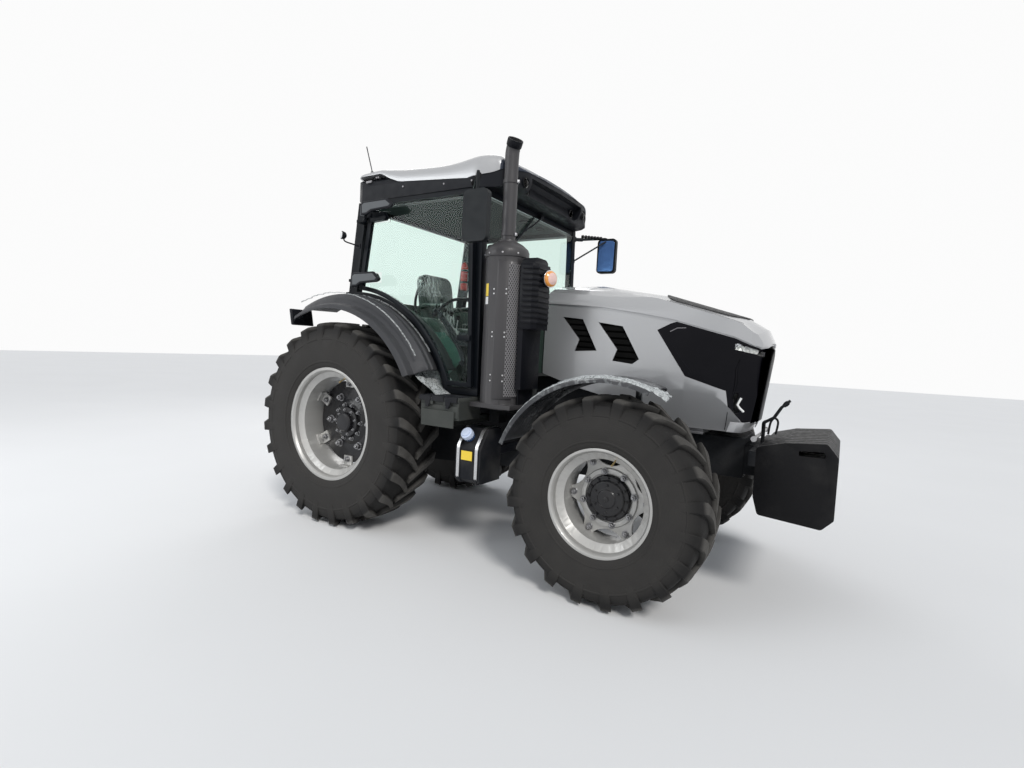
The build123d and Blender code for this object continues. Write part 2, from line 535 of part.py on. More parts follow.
def vent_grilles():
    """A louvred panel behind each air opening in the hood's sides."""
    skin = hood_form(SIDE_STEP + HOOD_WALL) - hood_form(SIDE_STEP + HOOD_WALL + 4)
    fins = hood_form(SIDE_STEP + HOOD_WALL) - hood_form(SIDE_STEP + HOOD_WALL + 18)
    panels = []
    for vent in VENTS:
        xs, zs = [x for x, z in vent], [z for x, z in vent]
        x0, x1, z0, z1 = min(xs) - 15, max(xs) + 15, min(zs) - 15, max(zs) + 15
        frame = slab_xz([(x0, z1), (x1 - 90, z1), (x1, z0), (x0 + 60, z0)], 100, 500)
        rise = (z1 - z0) / (LOUVRES + 1)
        slots = [slab_xz([(x0 + 45, z1 - rise * (i + 0.55)), (x1 - 45, z1 - rise * (i + 0.75)),
                          (x1 - 45, z1 - rise * (i + 1.05)), (x0 + 45, z1 - rise * (i + 0.85))], 100, 500)
                 for i in range(LOUVRES)]
        panel = skin & frame
        for slot in slots:
            panel -= slot
        blades = [slab_xz([(x0 + 30, z1 - rise * (i + 0.98)), (x1 - 40, z1 - rise * (i + 1.18)),
                           (x1 - 40, z1 - rise * (i + 1.28)), (x0 + 30, z1 - rise * (i + 1.08))], 100, 500)
                  for i in range(LOUVRES - 1)]
        for blade in blades:
            panel += fins & blade & frame
        panels.append(panel)
    return [turn(p) for p in panels for turn in (lambda s: s, other_side)]


# ---------------------------------------------------------------- cab
def cab_frame():
    """Four pillars on arched sills, roof rails, and the pins that carry the doors."""
    t0, t1 = CAB_HALF - PILLAR_W, CAB_HALF
    front = slab_xz([(CAB_FRONT - 60, FLOOR_Z), (CAB_FRONT, FLOOR_Z), (CAB_FRONT - 20, ROOF_Z),
                     (CAB_FRONT - 80, ROOF_Z)], t0, t1)
    rear = slab_xz([(-60, 1880), (30, 1880), (120, ROOF_Z), (30, ROOF_Z)], t0, t1)
    rail = block(40, CAB_FRONT - 30, t0, t1, ROOF_Z - 50, ROOF_Z)
    sill = spin_y([(t0, FENDER_R + SEAT_GAP), (t1, FENDER_R + SEAT_GAP), (t1, FENDER_R + SILL_W),
                   (t0, FENDER_R + SILL_W)], 0, REAR_R, 19, 76)
    foot = block(980, CAB_FRONT, t0, t1, FLOOR_Z, FLOOR_Z + 50)
    side = front + rear + rail + sill + foot + door_pins()
    whole = both(side)
    for x in (40, CAB_FRONT - 75):
        whole += block(x, x + 50, -t0 - 10, t0 + 10, ROOF_Z - 50, ROOF_Z)
    return whole


def hinge_point(z):
    (x0, z0), (x1, z1) = HINGE_FOOT, HINGE_HEAD
    return x0 + (x1 - x0) * (z - z0) / (z1 - z0)


def on_hinge(z, length, r):
    """A cylinder along the left door's hinge line, from height z."""
    axis = Vector(HINGE_HEAD[0] - HINGE_FOOT[0], 0, HINGE_HEAD[1] - HINGE_FOOT[1])
    return Solid.make_cylinder(r, length, Plane(origin=(hinge_point(z), HINGE_T, z), z_dir=axis))


HINGES = [2010, 2480]        # heights of the door hinges


def door_pins():
    """Brackets on the left rear pillar, each an arm below the door's eye with the pin on it."""
    whole = None
    for z in HINGES:
        x = hinge_point(z)
        arm = block(x - 95, x - 30, CAB_HALF - 10, HINGE_T + 5, z - 30, z - 8)
        arm += block(x - 40, x, HINGE_T - 15, HINGE_T + 5, z - 30, z - 8) + on_hinge(z - 30, 22, HINGE_EYE_R)
        pin = on_hinge(z - 30, 75, HINGE_PIN_R)
        whole = arm + pin if whole is None else whole + arm + pin
    return whole


def door():
    """Left door: one large pane in a slim frame; the lower rear corner follows the fender."""
    y0, y1 = CAB_HALF + DOOR_GAP, CAB_HALF + DOOR_GAP + DOOR_THICK
    foot, head = FLOOR_Z + 60, ROOF_Z - 12
    front_top, front_foot = CAB_FRONT - 80, CAB_FRONT - 30
    arch_r, rear_foot = FENDER_R + 55, FLOOR_Z + 730

    def edge(set_in):
        low_rear = (hinge_point(rear_foot) + 8 + set_in, rear_foot)
        return [(hinge_point(head) + 8 + set_in, head - set_in), (front_top - set_in, head - set_in),
                (front_foot - set_in, foot + set_in), (CAB_FRONT - 390, foot + set_in), low_rear]

    arch = bar_y(0, REAR_R, arch_r, 0, 2000)
    arch_in = bar_y(0, REAR_R, arch_r + DOOR_EDGE, 0, 2000)
    opening = slab_xz(edge(DOOR_EDGE), y0 - 10, y1 + 10) - arch_in
    frame = slab_xz(edge(0), y0, y1) - arch - opening
    for z in HINGES:
        x = hinge_point(z)
        frame += block(x + 8, x + 60, y1 - 5, HINGE_T + 4, z, z + 34) + on_hinge(z, 34, HINGE_EYE_R)
        frame += slab_xz([(x + 42, z - 34), (x + 36, z + 40), (x + 185, z + 34), (x + 215, z - 8),
                          (x + 200, z - 26)], y1 - 20, y1 + 16)
        frame -= on_hinge(z - 50, 150, HINGE_PIN_R + FIT)
    frame += block(front_foot - 130, front_foot - 20, y1 - 1, y1 + 14, foot + 330, foot + 370)
    pane = slab_xz(edge(DOOR_EDGE), y0 + 14, y0 + 20) - arch_in
    for z in HINGES:
        x = hinge_point(z)
        pane -= block(x, x + 230, y0 + 10, y1 + 10, z - 40, z + 46)
    return frame, pane


def cab_floor():
    """Tub between the wheels, floor, front wall and the fixed cowl behind the hood."""
    wide = CAB_HALF - PILLAR_W
    under = FLOOR_Z - FLOOR_THICK
    floor = block(250, CAB_FRONT - 40, -TUB_HALF, TUB_HALF, under, FLOOR_Z)
    floor += block(900, CAB_FRONT - 40, -wide, wide, under, FLOOR_Z)
    inside = bar_y(0, REAR_R, FENDER_R, -TUB_HALF, TUB_HALF) & block(-50, 1060, -TUB_HALF, TUB_HALF, FLOOR_Z, 2000)
    walls = inside - block(-200, 1200, -TUB_HALF + 20, TUB_HALF - 20, FLOOR_Z - 10, 2100)
    rear = slab_xz([(250, under), (280, under), (-10, 1866), (-50, 1866)], -TUB_HALF, TUB_HALF)
    walls -= slab_xz([(-300, 1000), (250, under), (-50, 1866), (-300, 1900)], -600, 600)
    front = slab_yz(whole_front([(0, under), (wide, under), (wide, 1380), (400, 1400), (375, 1900), (0, 1900)]),
                    CAB_FRONT - 40, CAB_FRONT - 10)
    cowl = slab_yz(whole_front([(0, 1330), (HOOD_HALF - 30, 1330), (HOOD_HALF - 15, 1800), (HOOD_HALF - 120, 1930),
                                (0, 1940)]), CAB_FRONT - 10, HOOD_REAR - 12)
    ear = block(HOOD_REAR - 30, HOOD_HINGE_X + 20, 80, 104, 1900, HOOD_HINGE_Z - 15)
    ear += bar_y(HOOD_HINGE_X, HOOD_HINGE_Z, 20, 80, 104)
    pin = bar_y(HOOD_HINGE_X, HOOD_HINGE_Z, HOOD_PIN_R, 80, 140)
    return floor + walls + rear + front + cowl + both(ear) + both(pin)


def roof():
    """Air-conditioned roof: dark base with its lamp pods and visor, and the pale cover over it."""
    low, top, rear_top = ROOF_Z, ROOF_TOP, ROOF_REAR_TOP
    nose, tail = CAB_FRONT + 190, -60
    plan = whole_plan([(tail, 0), (tail + 6, 560), (tail + 60, 725), (tail + 140, 775), (nose - 290, 782),
                       (nose - 90, 700), (nose - 15, 470), (nose, 0)])
    front = whole_front([(0, low - 100), (790, low - 100), (790, low + 60), (765, low + 150), (700, low + 196),
                         (560, low + 222), (0, top + 5)])
    form = slab_xy(plan, low - 100, top + 50) & slab_yz(front, tail - 100, nose + 100)
    edge = [(tail - 20, low + 215), (20, low + 205), (290, low + 205), (380, low + 158), (480, low + 122),
            (1140, low + 70), (1310, low + 100), (nose + 20, low + 165)]
    base_side = [(tail - 20, low + 40), (20, low), (nose - 130, low), (nose - 40, low + 30)] + edge[::-1]
    skin_side = edge + [(nose + 20, low + 178), (nose - 60, low + 205), (1360, top), (1230, top), (1150, top - 12),
                        (700, rear_top), (60, rear_top), (tail + 10, low + 219)]
    base = (slab_xz(base_side, -900, 900) & form) - visor_recess()
    for x, t, z in work_lamp_places():
        base += both(bar_x(t, z, WORK_LAMP_R + 8, x - 40, x + 4))
    for x, t, z in work_lamp_places():
        base -= both(bar_x(t, z, WORK_LAMP_R + SEAT_GAP, x - 14, x + 30))
    return base, slab_xz(skin_side, -900, 900) & form


def visor_recess():
    """Space between the lamp pods, under the lip of the visor."""
    nose = CAB_FRONT + 190
    return slab_xz([(nose - 70, ROOF_Z - 10), (nose - 95, ROOF_Z + 90), (nose - 60, ROOF_Z + 118),
                    (nose + 30, ROOF_Z + 128), (nose + 30, ROOF_Z - 10)], -430, 430)


WORK_LAMP_R = 34


def work_lamp_places():
    """Centres (x, t, z) of the round lamps: two in each front pod and one inboard of it."""
    nose = CAB_FRONT + 190
    return [(nose - 27, 500, ROOF_Z + 75), (nose - 62, 590, ROOF_Z + 75), (nose - 88, 380, ROOF_Z + 60)]


def work_lamps():
    lenses = [turned_x([(-14, 0), (-14, WORK_LAMP_R), (0, WORK_LAMP_R), (7, WORK_LAMP_R - 12), (10, 0)], x, t, z)
              for x, t, z in work_lamp_places()]
    return [turn(lens) for lens in lenses for turn in (lambda s: s, other_side)]


def cab_glass():
    """Windscreen, cut out over the cowl, and rear window."""
    wide = CAB_HALF - PILLAR_W - SEAT_GAP
    head = ROOF_Z - 50 - SEAT_GAP
    g = SEAT_GAP
    screen = slab_yz([(wide, 1380 + g), (wide, head), (-wide, head), (-wide, 1380 + g), (-400 - g, 1400 + g),
                      (-375 - g, 1900 + g), (375 + g, 1900 + g), (400 + g, 1400 + g)], CAB_FRONT - 28, CAB_FRONT - 22)
    rear = slab_xz([(-46, 1872), (-40, 1872), (40, head), (34, head)], -wide, wide)
    return screen, rear


# ---------------------------------------------------------------- inside the cab
def seat():
    """Driver's seat with its suspension and armrests."""
    cushion = block(250, 730, -240, 240, 1560, 1670)
    base = slab_xz([(300, FLOOR_Z), (680, FLOOR_Z), (640, 1562), (330, 1562)], -180, 180)
    back = slab_xz([(250, 1600), (360, 1600), (250, 2150), (150, 2150)], -235, 235, 40)
    return cushion + base + back


STEER_WHEEL_AT, STEER_WHEEL_R = (900, 1960), 200


def steering_axis():
    return Vector(-0.25, 0, 1).normalized()


def steering_column():
    x, z = STEER_WHEEL_AT
    top = Vector(x, 0, z) - steering_axis() * 30
    foot = Vector(x, 0, z) - steering_axis() * ((z - FLOOR_Z - 60) / steering_axis().Z)
    pillar = Solid.make_cone(75, 45, (top - foot).length - 60, Plane(origin=foot, z_dir=steering_axis()))
    shaft = rod(tuple(foot), tuple(Vector(x, 0, z) - steering_axis() * 10), 14)
    return pillar + shaft + bar_z(foot.X, 0, 90, FLOOR_Z, FLOOR_Z + 85)


def steering_wheel():
    """Rim with an eight-sided section, three spokes and the hub on its shaft."""
    x, z = STEER_WHEEL_AT
    at = Vector(x, 0, z)
    place = Plane(origin=at, z_dir=steering_axis())
    r = STEER_WHEEL_R
    section = [(r + 14 * cos(radians(22.5 + 45 * i)), 14 * sin(radians(22.5 + 45 * i))) for i in range(8)]
    rim_face = Face(Wire.make_polygon([(a, 0, b) for a, b in section]))
    whole = place.location * Solid.revolve(rim_face, 360, Axis((0, 0, 0), (0, 0, 1)))
    whole += Solid.make_cylinder(45, 34, Plane(origin=at - steering_axis() * 24, z_dir=steering_axis()))
    for turn in (0, 120, 240):
        arm = Pos(r / 2 + 10, 0, 0) * Box(r - 20, 26, 10)
        whole += place.location * Rot(0, 0, turn) * arm
    return whole - rod(tuple(at - steering_axis() * 60), tuple(at - steering_axis() * 9), 14 + FIT)


def consoles():
    """Instrument cowl ahead of the wheel, and the control consoles on both sides of the seat."""
    dash = slab_xz([(1195, FLOOR_Z), (CAB_FRONT - 41, FLOOR_Z), (CAB_FRONT - 41, 1880), (1150, 1895), (1140, 1800)],
                   -180, 180)
    side = slab_xz([(330, FLOOR_Z), (860, FLOOR_Z), (880, 1560), (600, 1720), (330, 1720)], 300, TUB_HALF - 21)
    return dash, side, other_side(side)


# ---------------------------------------------------------------- what hangs on the chassis
EXHAUST_X, EXHAUST_T, EXHAUST_R = 1462, 715, 150
EXHAUST_FOOT, EXHAUST_TOP = 1115, 2180
RIB_COUNT, RIB_PITCH = 11, 36
PIPE_R, PIPE_TOP, PIPE_BEND, PIPE_TURN = 49, 2820, 110, 36


def exhaust_can():
    """Cleaner can with its domed cap and the perforated guard band, on a shelf with two brackets."""
    r, foot, top = EXHAUST_R, EXHAUST_FOOT, EXHAUST_TOP
    can = turned_z([(0, foot), (r - 4, foot), (r - 4, top - 62), (r + 3, top - 60), (r + 3, top - 22), (r - 6, top),
                    (r - 40, top + 30), (82, top + 46), (66, top + 50), (66, top + 62), (0, top + 62)],
                   EXHAUST_X, -EXHAUST_T)
    guard = bar_z(EXHAUST_X, -EXHAUST_T, r + 6, foot + 40, top - 100) - bar_z(EXHAUST_X, -EXHAUST_T, r - 8, foot, top)
    guard &= slab_xy([(EXHAUST_X, -EXHAUST_T), (EXHAUST_X + 40, -EXHAUST_T - 260), (EXHAUST_X + 260, -EXHAUST_T - 150)],
                     foot, top)
    shelf = block(CAB_FRONT + 10, EXHAUST_X + r + 20, -EXHAUST_T - r, -560, foot - 30, foot)
    bracket = block(EXHAUST_X - 110, EXHAUST_X + 20, -EXHAUST_T, -CASE_HALF, foot - 55, foot)
    leg = block(EXHAUST_X - 110, EXHAUST_X + 20, -CASE_HALF - 40, -CASE_HALF, 800, foot)
    return can + guard + bracket + shelf + leg


def intake_box():
    """Air intake in front of the can: a pillar with a ribbed housing on its upper half."""
    x0, foot, top = EXHAUST_X + EXHAUST_R + 8, EXHAUST_FOOT, EXHAUST_TOP - 110
    mid = foot + 520
    pillar = slab_xy([(x0 - 60, -560), (x0 - 60, -590), (x0, -600), (x0, -790), (x0 + 40, -790), (x0 + 50, -770),
                      (x0 + 50, -560)], foot + 110, mid + 10)
    pillar += slab_xy([(x0 - 60, -560), (x0 - 60, -590), (x0, -600), (x0, -760), (x0 + 10, -760), (x0 + 10, -560)],
                      foot, foot + 115)
    house = slab_xy([(x0, -600), (x0, -800), (x0 + 100, -800), (x0 + 128, -770), (x0 + 128, -600)], mid, top, 12)
    for i in range(RIB_COUNT):
        z = mid + 40 + i * RIB_PITCH
        house += slab_xy([(x0 + 30, -620), (x0 + 30, -810), (x0 + 106, -810), (x0 + 138, -774), (x0 + 138, -620)],
                         z, z + RIB_PITCH / 2)
    cap = slab_yz([(-610, top - 1), (-610, top + 22), (-640, top + 40), (-760, top + 40), (-790, top + 22),
                   (-790, top - 1)], x0 + 10, x0 + 110)
    return pillar + house + cap


def exhaust_pipe():
    """Stack pipe with two clamp bands and an open elbow that turns forward."""
    x, t, foot = EXHAUST_X, EXHAUST_T, EXHAUST_TOP + 62
    bend = Axis((x + PIPE_BEND, 0, PIPE_TOP), (0, 1, 0))
    end = Vector(x + PIPE_BEND * (1 - cos(radians(PIPE_TURN))), -t, PIPE_TOP + PIPE_BEND * sin(radians(PIPE_TURN)))
    ahead = Vector(sin(radians(PIPE_TURN)), 0, cos(radians(PIPE_TURN)))

    def run(r, low):
        disc = Face(Wire.make_circle(r, Plane(origin=(x, -t, PIPE_TOP), z_dir=(0, 0, 1))))
        return bar_z(x, -t, r, low, PIPE_TOP) + Solid.revolve(disc, PIPE_TURN, bend) + rod(
            tuple(end), tuple(end + ahead * 40), r)

    pipe = run(PIPE_R, foot)
    for z in (foot + 30, PIPE_TOP - 190):
        pipe += bar_z(x, -t, PIPE_R + 5, z, z + 24)
    inside = run(PIPE_R - 4, PIPE_TOP - 300) + rod(tuple(end + ahead * 30), tuple(end + ahead * 60), PIPE_R - 4)
    return pipe - inside


def additive_tank():
    """Tank under the shelf: its outer shoulder slopes and carries the filler neck and cap."""
    x0, x1, out = CAB_FRONT - 80, CAB_FRONT + 135, TANK_OUT
    side = [(-620, 545), (-out + 25, 545), (-out, 570), (-out, 790), (-out + 95, 925), (-620, 925)]
    tank = slab_yz(side, x0, x1)
    wrap = [(y - 6 if y < -700 else y, z + (6 if z > 700 else -6)) for y, z in side]
    for x in (x0 + 22, x1 - 50):
        tank += slab_yz(wrap, x, x + 28)
    foot = Vector((x0 + x1) / 2 - 12, -out + 48, 857)
    lean = Vector(0, -0.8, 0.6)
    tank += rod(tuple(foot - lean * 10), tuple(foot + lean * 42), 34)
    strap = block(CAB_FRONT - 10, CAB_FRONT + 50, -620, -CASE_HALF, 700, 760)
    cap = rod(tuple(foot + lean * 42), tuple(foot + lean * 74), 42) + rod(
        tuple(foot + lean * 74), tuple(foot + lean * 82), 30)
    return tank + strap, cap


def right_step():
    """Tool box that serves as the right step, with its hinged lid."""
    x0, x1, out, top = CAB_FRONT - 345, CAB_FRONT - 5, 960, FLOOR_Z - 8
    box = block(x0, x1, -out, -705, 985, top - 30)
    box += block(x0 + 6, x1 - 6, -out - 6, -out, 1000, top - 60)
    lid = slab_yz([(-705, top - 30), (-out - 12, top - 30), (-out - 12, top - 12), (-out, top), (-705, top)], x0 - 8,
                  x1 + 2)
    for x in (x0 + 62, x1 - 122):
        lid += block(x, x + 60, -out - 20, -out - 5, top - 58, top - 8)
    strap = block(x0 + 55, x0 + 115, -740, -CASE_HALF, 900, 960) + block(x0 + 55, x0 + 115, -760, -705, 900, 990)
    return box + lid + strap


def fuel_tank():
    """Left tank under the cab with rounded corners, and the access steps outside it."""
    x0, x1 = REAR_R + 40, CAB_FRONT + 160
    tank = slab_xz([(x0, 600), (x0, 980), (x1, 980), (x1, 640), (x1 - 120, 560), (x0 + 40, 560)], 360, 640, 30)
    whole = tank + block(x0 + 37, x0 + 97, CASE_HALF, 362, 700, 760)
    front, rear = CAB_FRONT + 10, CAB_FRONT - 330
    for z, t in ((480, 960), (740, 930), (1000, 900)):
        whole += block(rear, front, 638, t, z, z + 30)
        whole += block(rear, front, t - 14, t, z - 22, z + 4)
    for x in (rear - 10, front - 10):
        whole += slab_yz([(630, 480), (960, 480), (900, 1030), (630, 1030)], x, x + 20)
    return whole


def front_weights():
    """Carrier bolted to the frame, with its tow pin, and ten slab weights hung on it."""
    back = FRAME_FRONT + CARRIER_DEEP
    width = WEIGHT_COUNT * WEIGHT_PITCH - WEIGHT_GAP
    carrier = block(FRAME_FRONT, back, -RAIL_OUT, RAIL_OUT, 770, 960)
    carrier += block(back - 40, back, -width / 2, width / 2, 870, 960)
    pin_x = back - 18
    carrier += bar_z(pin_x, 0, 12, 955, 1090) + bar_y(pin_x + 6, 1096, 11, -46, 46)
    for s in (1, -1):
        carrier += rod((pin_x + 6, s * 36, 1096), (pin_x + 60, s * 36, 1132), 9)
        carrier += rod((pin_x + 58, s * 36, 1130), (pin_x + 100, s * 26, 1205), 9)
        carrier += rod((pin_x + 98, s * 26, 1202), (pin_x + 145, s * 8, 1250), 9)
    profile = [(back, 690), (back + 30, 585), (FRONT_REACH - 60, 560), (FRONT_REACH, 625), (FRONT_REACH, 975),
               (FRONT_REACH - 60, 1050), (back + 150, 1030), (back, 985)]
    grip = [(FRONT_REACH - 200, 965), (FRONT_REACH - 200, 995), (FRONT_REACH - 75, 1005), (FRONT_REACH - 60, 970)]
    slab = slab_xz(profile, 0, WEIGHT_PITCH - WEIGHT_GAP, 22) - slab_xz(grip, -10, WEIGHT_PITCH, 8)
    return carrier, [Pos(0, -width / 2 + i * WEIGHT_PITCH, 0) * slab for i in range(WEIGHT_COUNT)]


def link_share():
    """How far along a lower link, as a share of it, its lift rod holds it."""
    return LIFT_REACH / (REAR_REACH - LINK_END_R + LINK_X)


def lift_rise():
    """Height of a lift rod's eye over the link's front pivot, and over the rockshaft above."""
    return (LINK_END_Z - LINK_Z) * link_share()


def hitch_arms():
    """Rockshaft and the two lift arms on its ends."""
    whole = bar_y(ROCK_X, ROCK_Z, ROCK_R, -LIFT_T, LIFT_T)
    rise = lift_rise()
    arm = slab_xz([(ROCK_X + 50, ROCK_Z - 60), (ROCK_X + 50, ROCK_Z + 60), (ROCK_X - 60, ROCK_Z + 60),
                   (ROCK_X - LIFT_REACH - 30, ROCK_Z + rise + 28), (ROCK_X - LIFT_REACH - 30, ROCK_Z + rise - 28),
                   (ROCK_X - 60, ROCK_Z - 60)], LIFT_T - 36, LIFT_T)
    arm += bar_y(ROCK_X - LIFT_REACH, ROCK_Z + rise, LIFT_PIN_R, LIFT_T - 76, LIFT_T - 30)
    return whole + both(arm)


def lower_links():
    pieces = []
    end_x = -REAR_REACH + LINK_END_R
    for s in (1, -1):
        plan = [(LINK_X, s * (LINK_T - LINK_HALF)), (LINK_X, s * (LINK_T + LINK_HALF)),
                (end_x, s * (LINK_END_T + LINK_HALF)), (end_x, s * (LINK_END_T - LINK_HALF))]
        side = [(LINK_X, LINK_Z - LINK_TALL), (LINK_X, LINK_Z + LINK_TALL), (end_x, LINK_END_Z + LINK_TALL - 8),
                (end_x, LINK_END_Z - LINK_TALL + 8)]
        link = slab_xy(plan, 0, 1000) & slab_xz(side, -600, 600)
        link += bar_y(LINK_X, LINK_Z, LINK_TALL, *sorted((s * (LINK_T - 25), s * (LINK_T + 25))))
        link += bar_y(end_x, LINK_END_Z, LINK_END_R, *sorted((s * (LINK_END_T - 22), s * (LINK_END_T + 22))))
        t = LINK_T + (LINK_END_T - LINK_T) * link_share()
        link += bar_y(LINK_X - LIFT_REACH, LINK_Z + lift_rise(), LIFT_PIN_R, *sorted((s * (t - 62), s * t)))
        link -= bar_y(LINK_X, LINK_Z, LINK_PIN_R + FIT, -500, 500)
        link -= bar_y(end_x, LINK_END_Z, LINK_BALL_R, -600, 600)
        pieces.append(link)
    return pieces


def lift_rod():
    """Left lift rod, an eye at each end; with arm and link it makes a parallelogram."""
    top_x, top_z = ROCK_X - LIFT_REACH, ROCK_Z + lift_rise()
    foot_x, foot_z = LINK_X - LIFT_REACH, LINK_Z + lift_rise()
    top_t = LIFT_T - 36 - 21
    foot_t = LINK_T + (LINK_END_T - LINK_T) * link_share() - 46
    whole = rod((top_x, top_t, top_z), (foot_x, foot_t, foot_z), 13)
    for x, t, z in ((top_x, top_t, top_z), (foot_x, foot_t, foot_z)):
        whole += bar_y(x, z, 26, t - 14, t + 14)
        whole -= bar_y(x, z, LIFT_PIN_R + FIT, t - 40, t + 40)
    return whole


def top_link():
    x, z = TOP_LINK_X, TOP_LINK_Z
    eye = bar_y(x, z, 30, -25, 25)
    whole = eye + rod((x, 0, z), (x - 70, 0, z + 560), 18) + bar_y(x - 70, z + 560, 30, -22, 22)
    return whole - bar_y(x, z, TOP_PIN_R + FIT, -100, 100) - bar_y(x - 70, z + 560, TOP_PIN_R + FIT, -100, 100)


def pto_shaft():
    """Power take-off stub with the thicker end that turns in the casing."""
    stub = bar_x(0, PTO_Z, PTO_R, CASE_REAR - PTO_OUT, CASE_REAR + 1)
    return stub + bar_x(0, PTO_Z, PTO_SHOULDER_R, CASE_REAR, CASE_REAR + PTO_DEEP)


def drawbar():
    bar = block(-DRAWBAR_REACH, 200, -DRAWBAR_HALF, DRAWBAR_HALF, 430, 430 + DRAWBAR_THICK)
    bar += block(-140, -60, -60, 60, 420, 480) + block(100, 180, -60, 60, 420, 480)
    return bar - bar_z(-DRAWBAR_REACH + 50, 0, 16.5, 400, 500)


def mirrors():
    """Each mirror hangs on an arm from the front pillar's head, its glass turned to the cab."""
    pieces = []
    x = CAB_FRONT + 150
    for turn in (lambda s: s, other_side):
        post = MIRROR_REACH - 22
        arm = block(CAB_FRONT - 58, CAB_FRONT - 24, CAB_HALF, CAB_HALF + 30, 2536, 2584)
        arm += rod((CAB_FRONT - 40, CAB_HALF + 20, 2560), (CAB_FRONT - 10, CAB_HALF + 130, 2575), 17)
        arm += rod((CAB_FRONT - 12, CAB_HALF + 126, 2575), (x, post, 2610), 11)
        arm += rod((x, post, 2618), (x, post, 2440), 10)
        lower = block(CAB_FRONT - 52, CAB_FRONT - 24, CAB_HALF, CAB_HALF + 24, 2338, 2372)
        lower += rod((CAB_FRONT - 38, CAB_HALF + 14, 2355), (x, post, 2480), 8)
        head = slab_xz([(x - 95, 2170), (x - 95, 2500), (x + 95, 2500), (x + 95, 2170)], MIRROR_REACH - 44,
                       MIRROR_REACH, 38)
        pieces.append(turn(arm + lower + head))
    return pieces


def antenna():
    return bar_z(146, 0, 14, ROOF_REAR_TOP, ROOF_REAR_TOP + 25) + rod((146, 0, ROOF_REAR_TOP + 15), (70, 0, 3080), 4)


def main():
    wheels()
    save("transmission", transmission())
    save("engine", engine())
    save("radiator", radiator())
    save("front_frame", front_frame())
    save("front_axle", front_axle())
    save("steering_rod", steering_rod())
    for name, left in (("knuckle", knuckle()), ("front_fender", front_fender())):
        save(f"{name}_left", left)
        save(f"{name}_right", other_side(left))
    left = rear_fender()
    save("rear_fenders", left, other_side(left))
    shell, mask, grille = hood()
    save("hood_shell", shell)
    save("hood_mask", mask)
    save("hood_grille", grille)
    save("vent_grilles", *vent_grilles())
    save("headlamps", headlamps())
    save("cab_frame", cab_frame())
    save("cab_floor", cab_floor())
    base, skin = roof()
    save("roof_base", base)
    save("roof_skin", skin)
    save("work_lamps", *work_lamps())
    save("cab_glass", *cab_glass())
    frame, pane = door()
    for side, turn in (("left", lambda s: s), ("right", other_side)):
        save(f"door_frame_{side}", turn(frame))
        save(f"door_glass_{side}", turn(pane))
    save("seat", seat())
    save("steering_column", steering_column())
    save("steering_wheel", steering_wheel())
    save("consoles", *consoles())
    save("exhaust_can", exhaust_can())
    save("exhaust_pipe", exhaust_pipe())
    save("intake_box", intake_box())
    tank, cap = additive_tank()
    save("additive_tank", tank)
    save("tank_cap", cap)
    save("right_step", right_step())
    save("fuel_tank", fuel_tank())
    carrier, slabs = front_weights()
    save("weight_carrier", carrier)
    save("front_weights", *slabs)
    save("lift_arms", hitch_arms())
    save("lower_links", *lower_links())
    left = lift_rod()
    save("lift_rods", left, other_side(left))
    save("top_link", top_link())
    save("drawbar", drawbar())
    save("pto_shaft", pto_shaft())
    save("mirrors", *mirrors())
    save("antenna", antenna())


main()
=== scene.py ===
"""Farm tractor, dressed: finishes for every CAD piece, and the pieces that the solids leave out."""
import json
from math import atan, cos, pi, radians, sin, sqrt, tau
import random

import bmesh
import bpy
from mathutils import Matrix, Vector
from mathutils.bvhtree import BVHTree

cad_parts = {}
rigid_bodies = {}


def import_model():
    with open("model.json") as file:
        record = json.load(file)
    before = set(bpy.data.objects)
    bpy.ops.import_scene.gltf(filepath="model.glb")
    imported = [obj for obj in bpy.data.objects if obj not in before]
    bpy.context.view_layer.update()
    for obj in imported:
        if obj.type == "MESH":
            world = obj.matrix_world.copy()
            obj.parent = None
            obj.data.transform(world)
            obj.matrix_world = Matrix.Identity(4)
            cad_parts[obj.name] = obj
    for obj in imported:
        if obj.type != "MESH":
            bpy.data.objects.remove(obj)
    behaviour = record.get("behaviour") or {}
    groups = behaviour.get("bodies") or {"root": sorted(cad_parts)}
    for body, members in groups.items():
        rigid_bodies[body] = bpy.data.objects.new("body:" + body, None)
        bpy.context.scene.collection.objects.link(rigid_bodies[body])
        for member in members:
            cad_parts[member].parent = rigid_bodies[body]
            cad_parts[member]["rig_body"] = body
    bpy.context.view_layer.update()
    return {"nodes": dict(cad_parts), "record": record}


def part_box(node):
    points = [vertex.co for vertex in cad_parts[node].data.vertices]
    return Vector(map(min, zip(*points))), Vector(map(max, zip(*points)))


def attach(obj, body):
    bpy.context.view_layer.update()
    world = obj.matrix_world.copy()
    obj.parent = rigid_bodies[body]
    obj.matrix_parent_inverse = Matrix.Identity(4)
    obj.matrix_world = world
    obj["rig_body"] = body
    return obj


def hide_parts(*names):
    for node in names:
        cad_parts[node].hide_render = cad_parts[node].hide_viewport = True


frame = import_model()
random.seed(7)


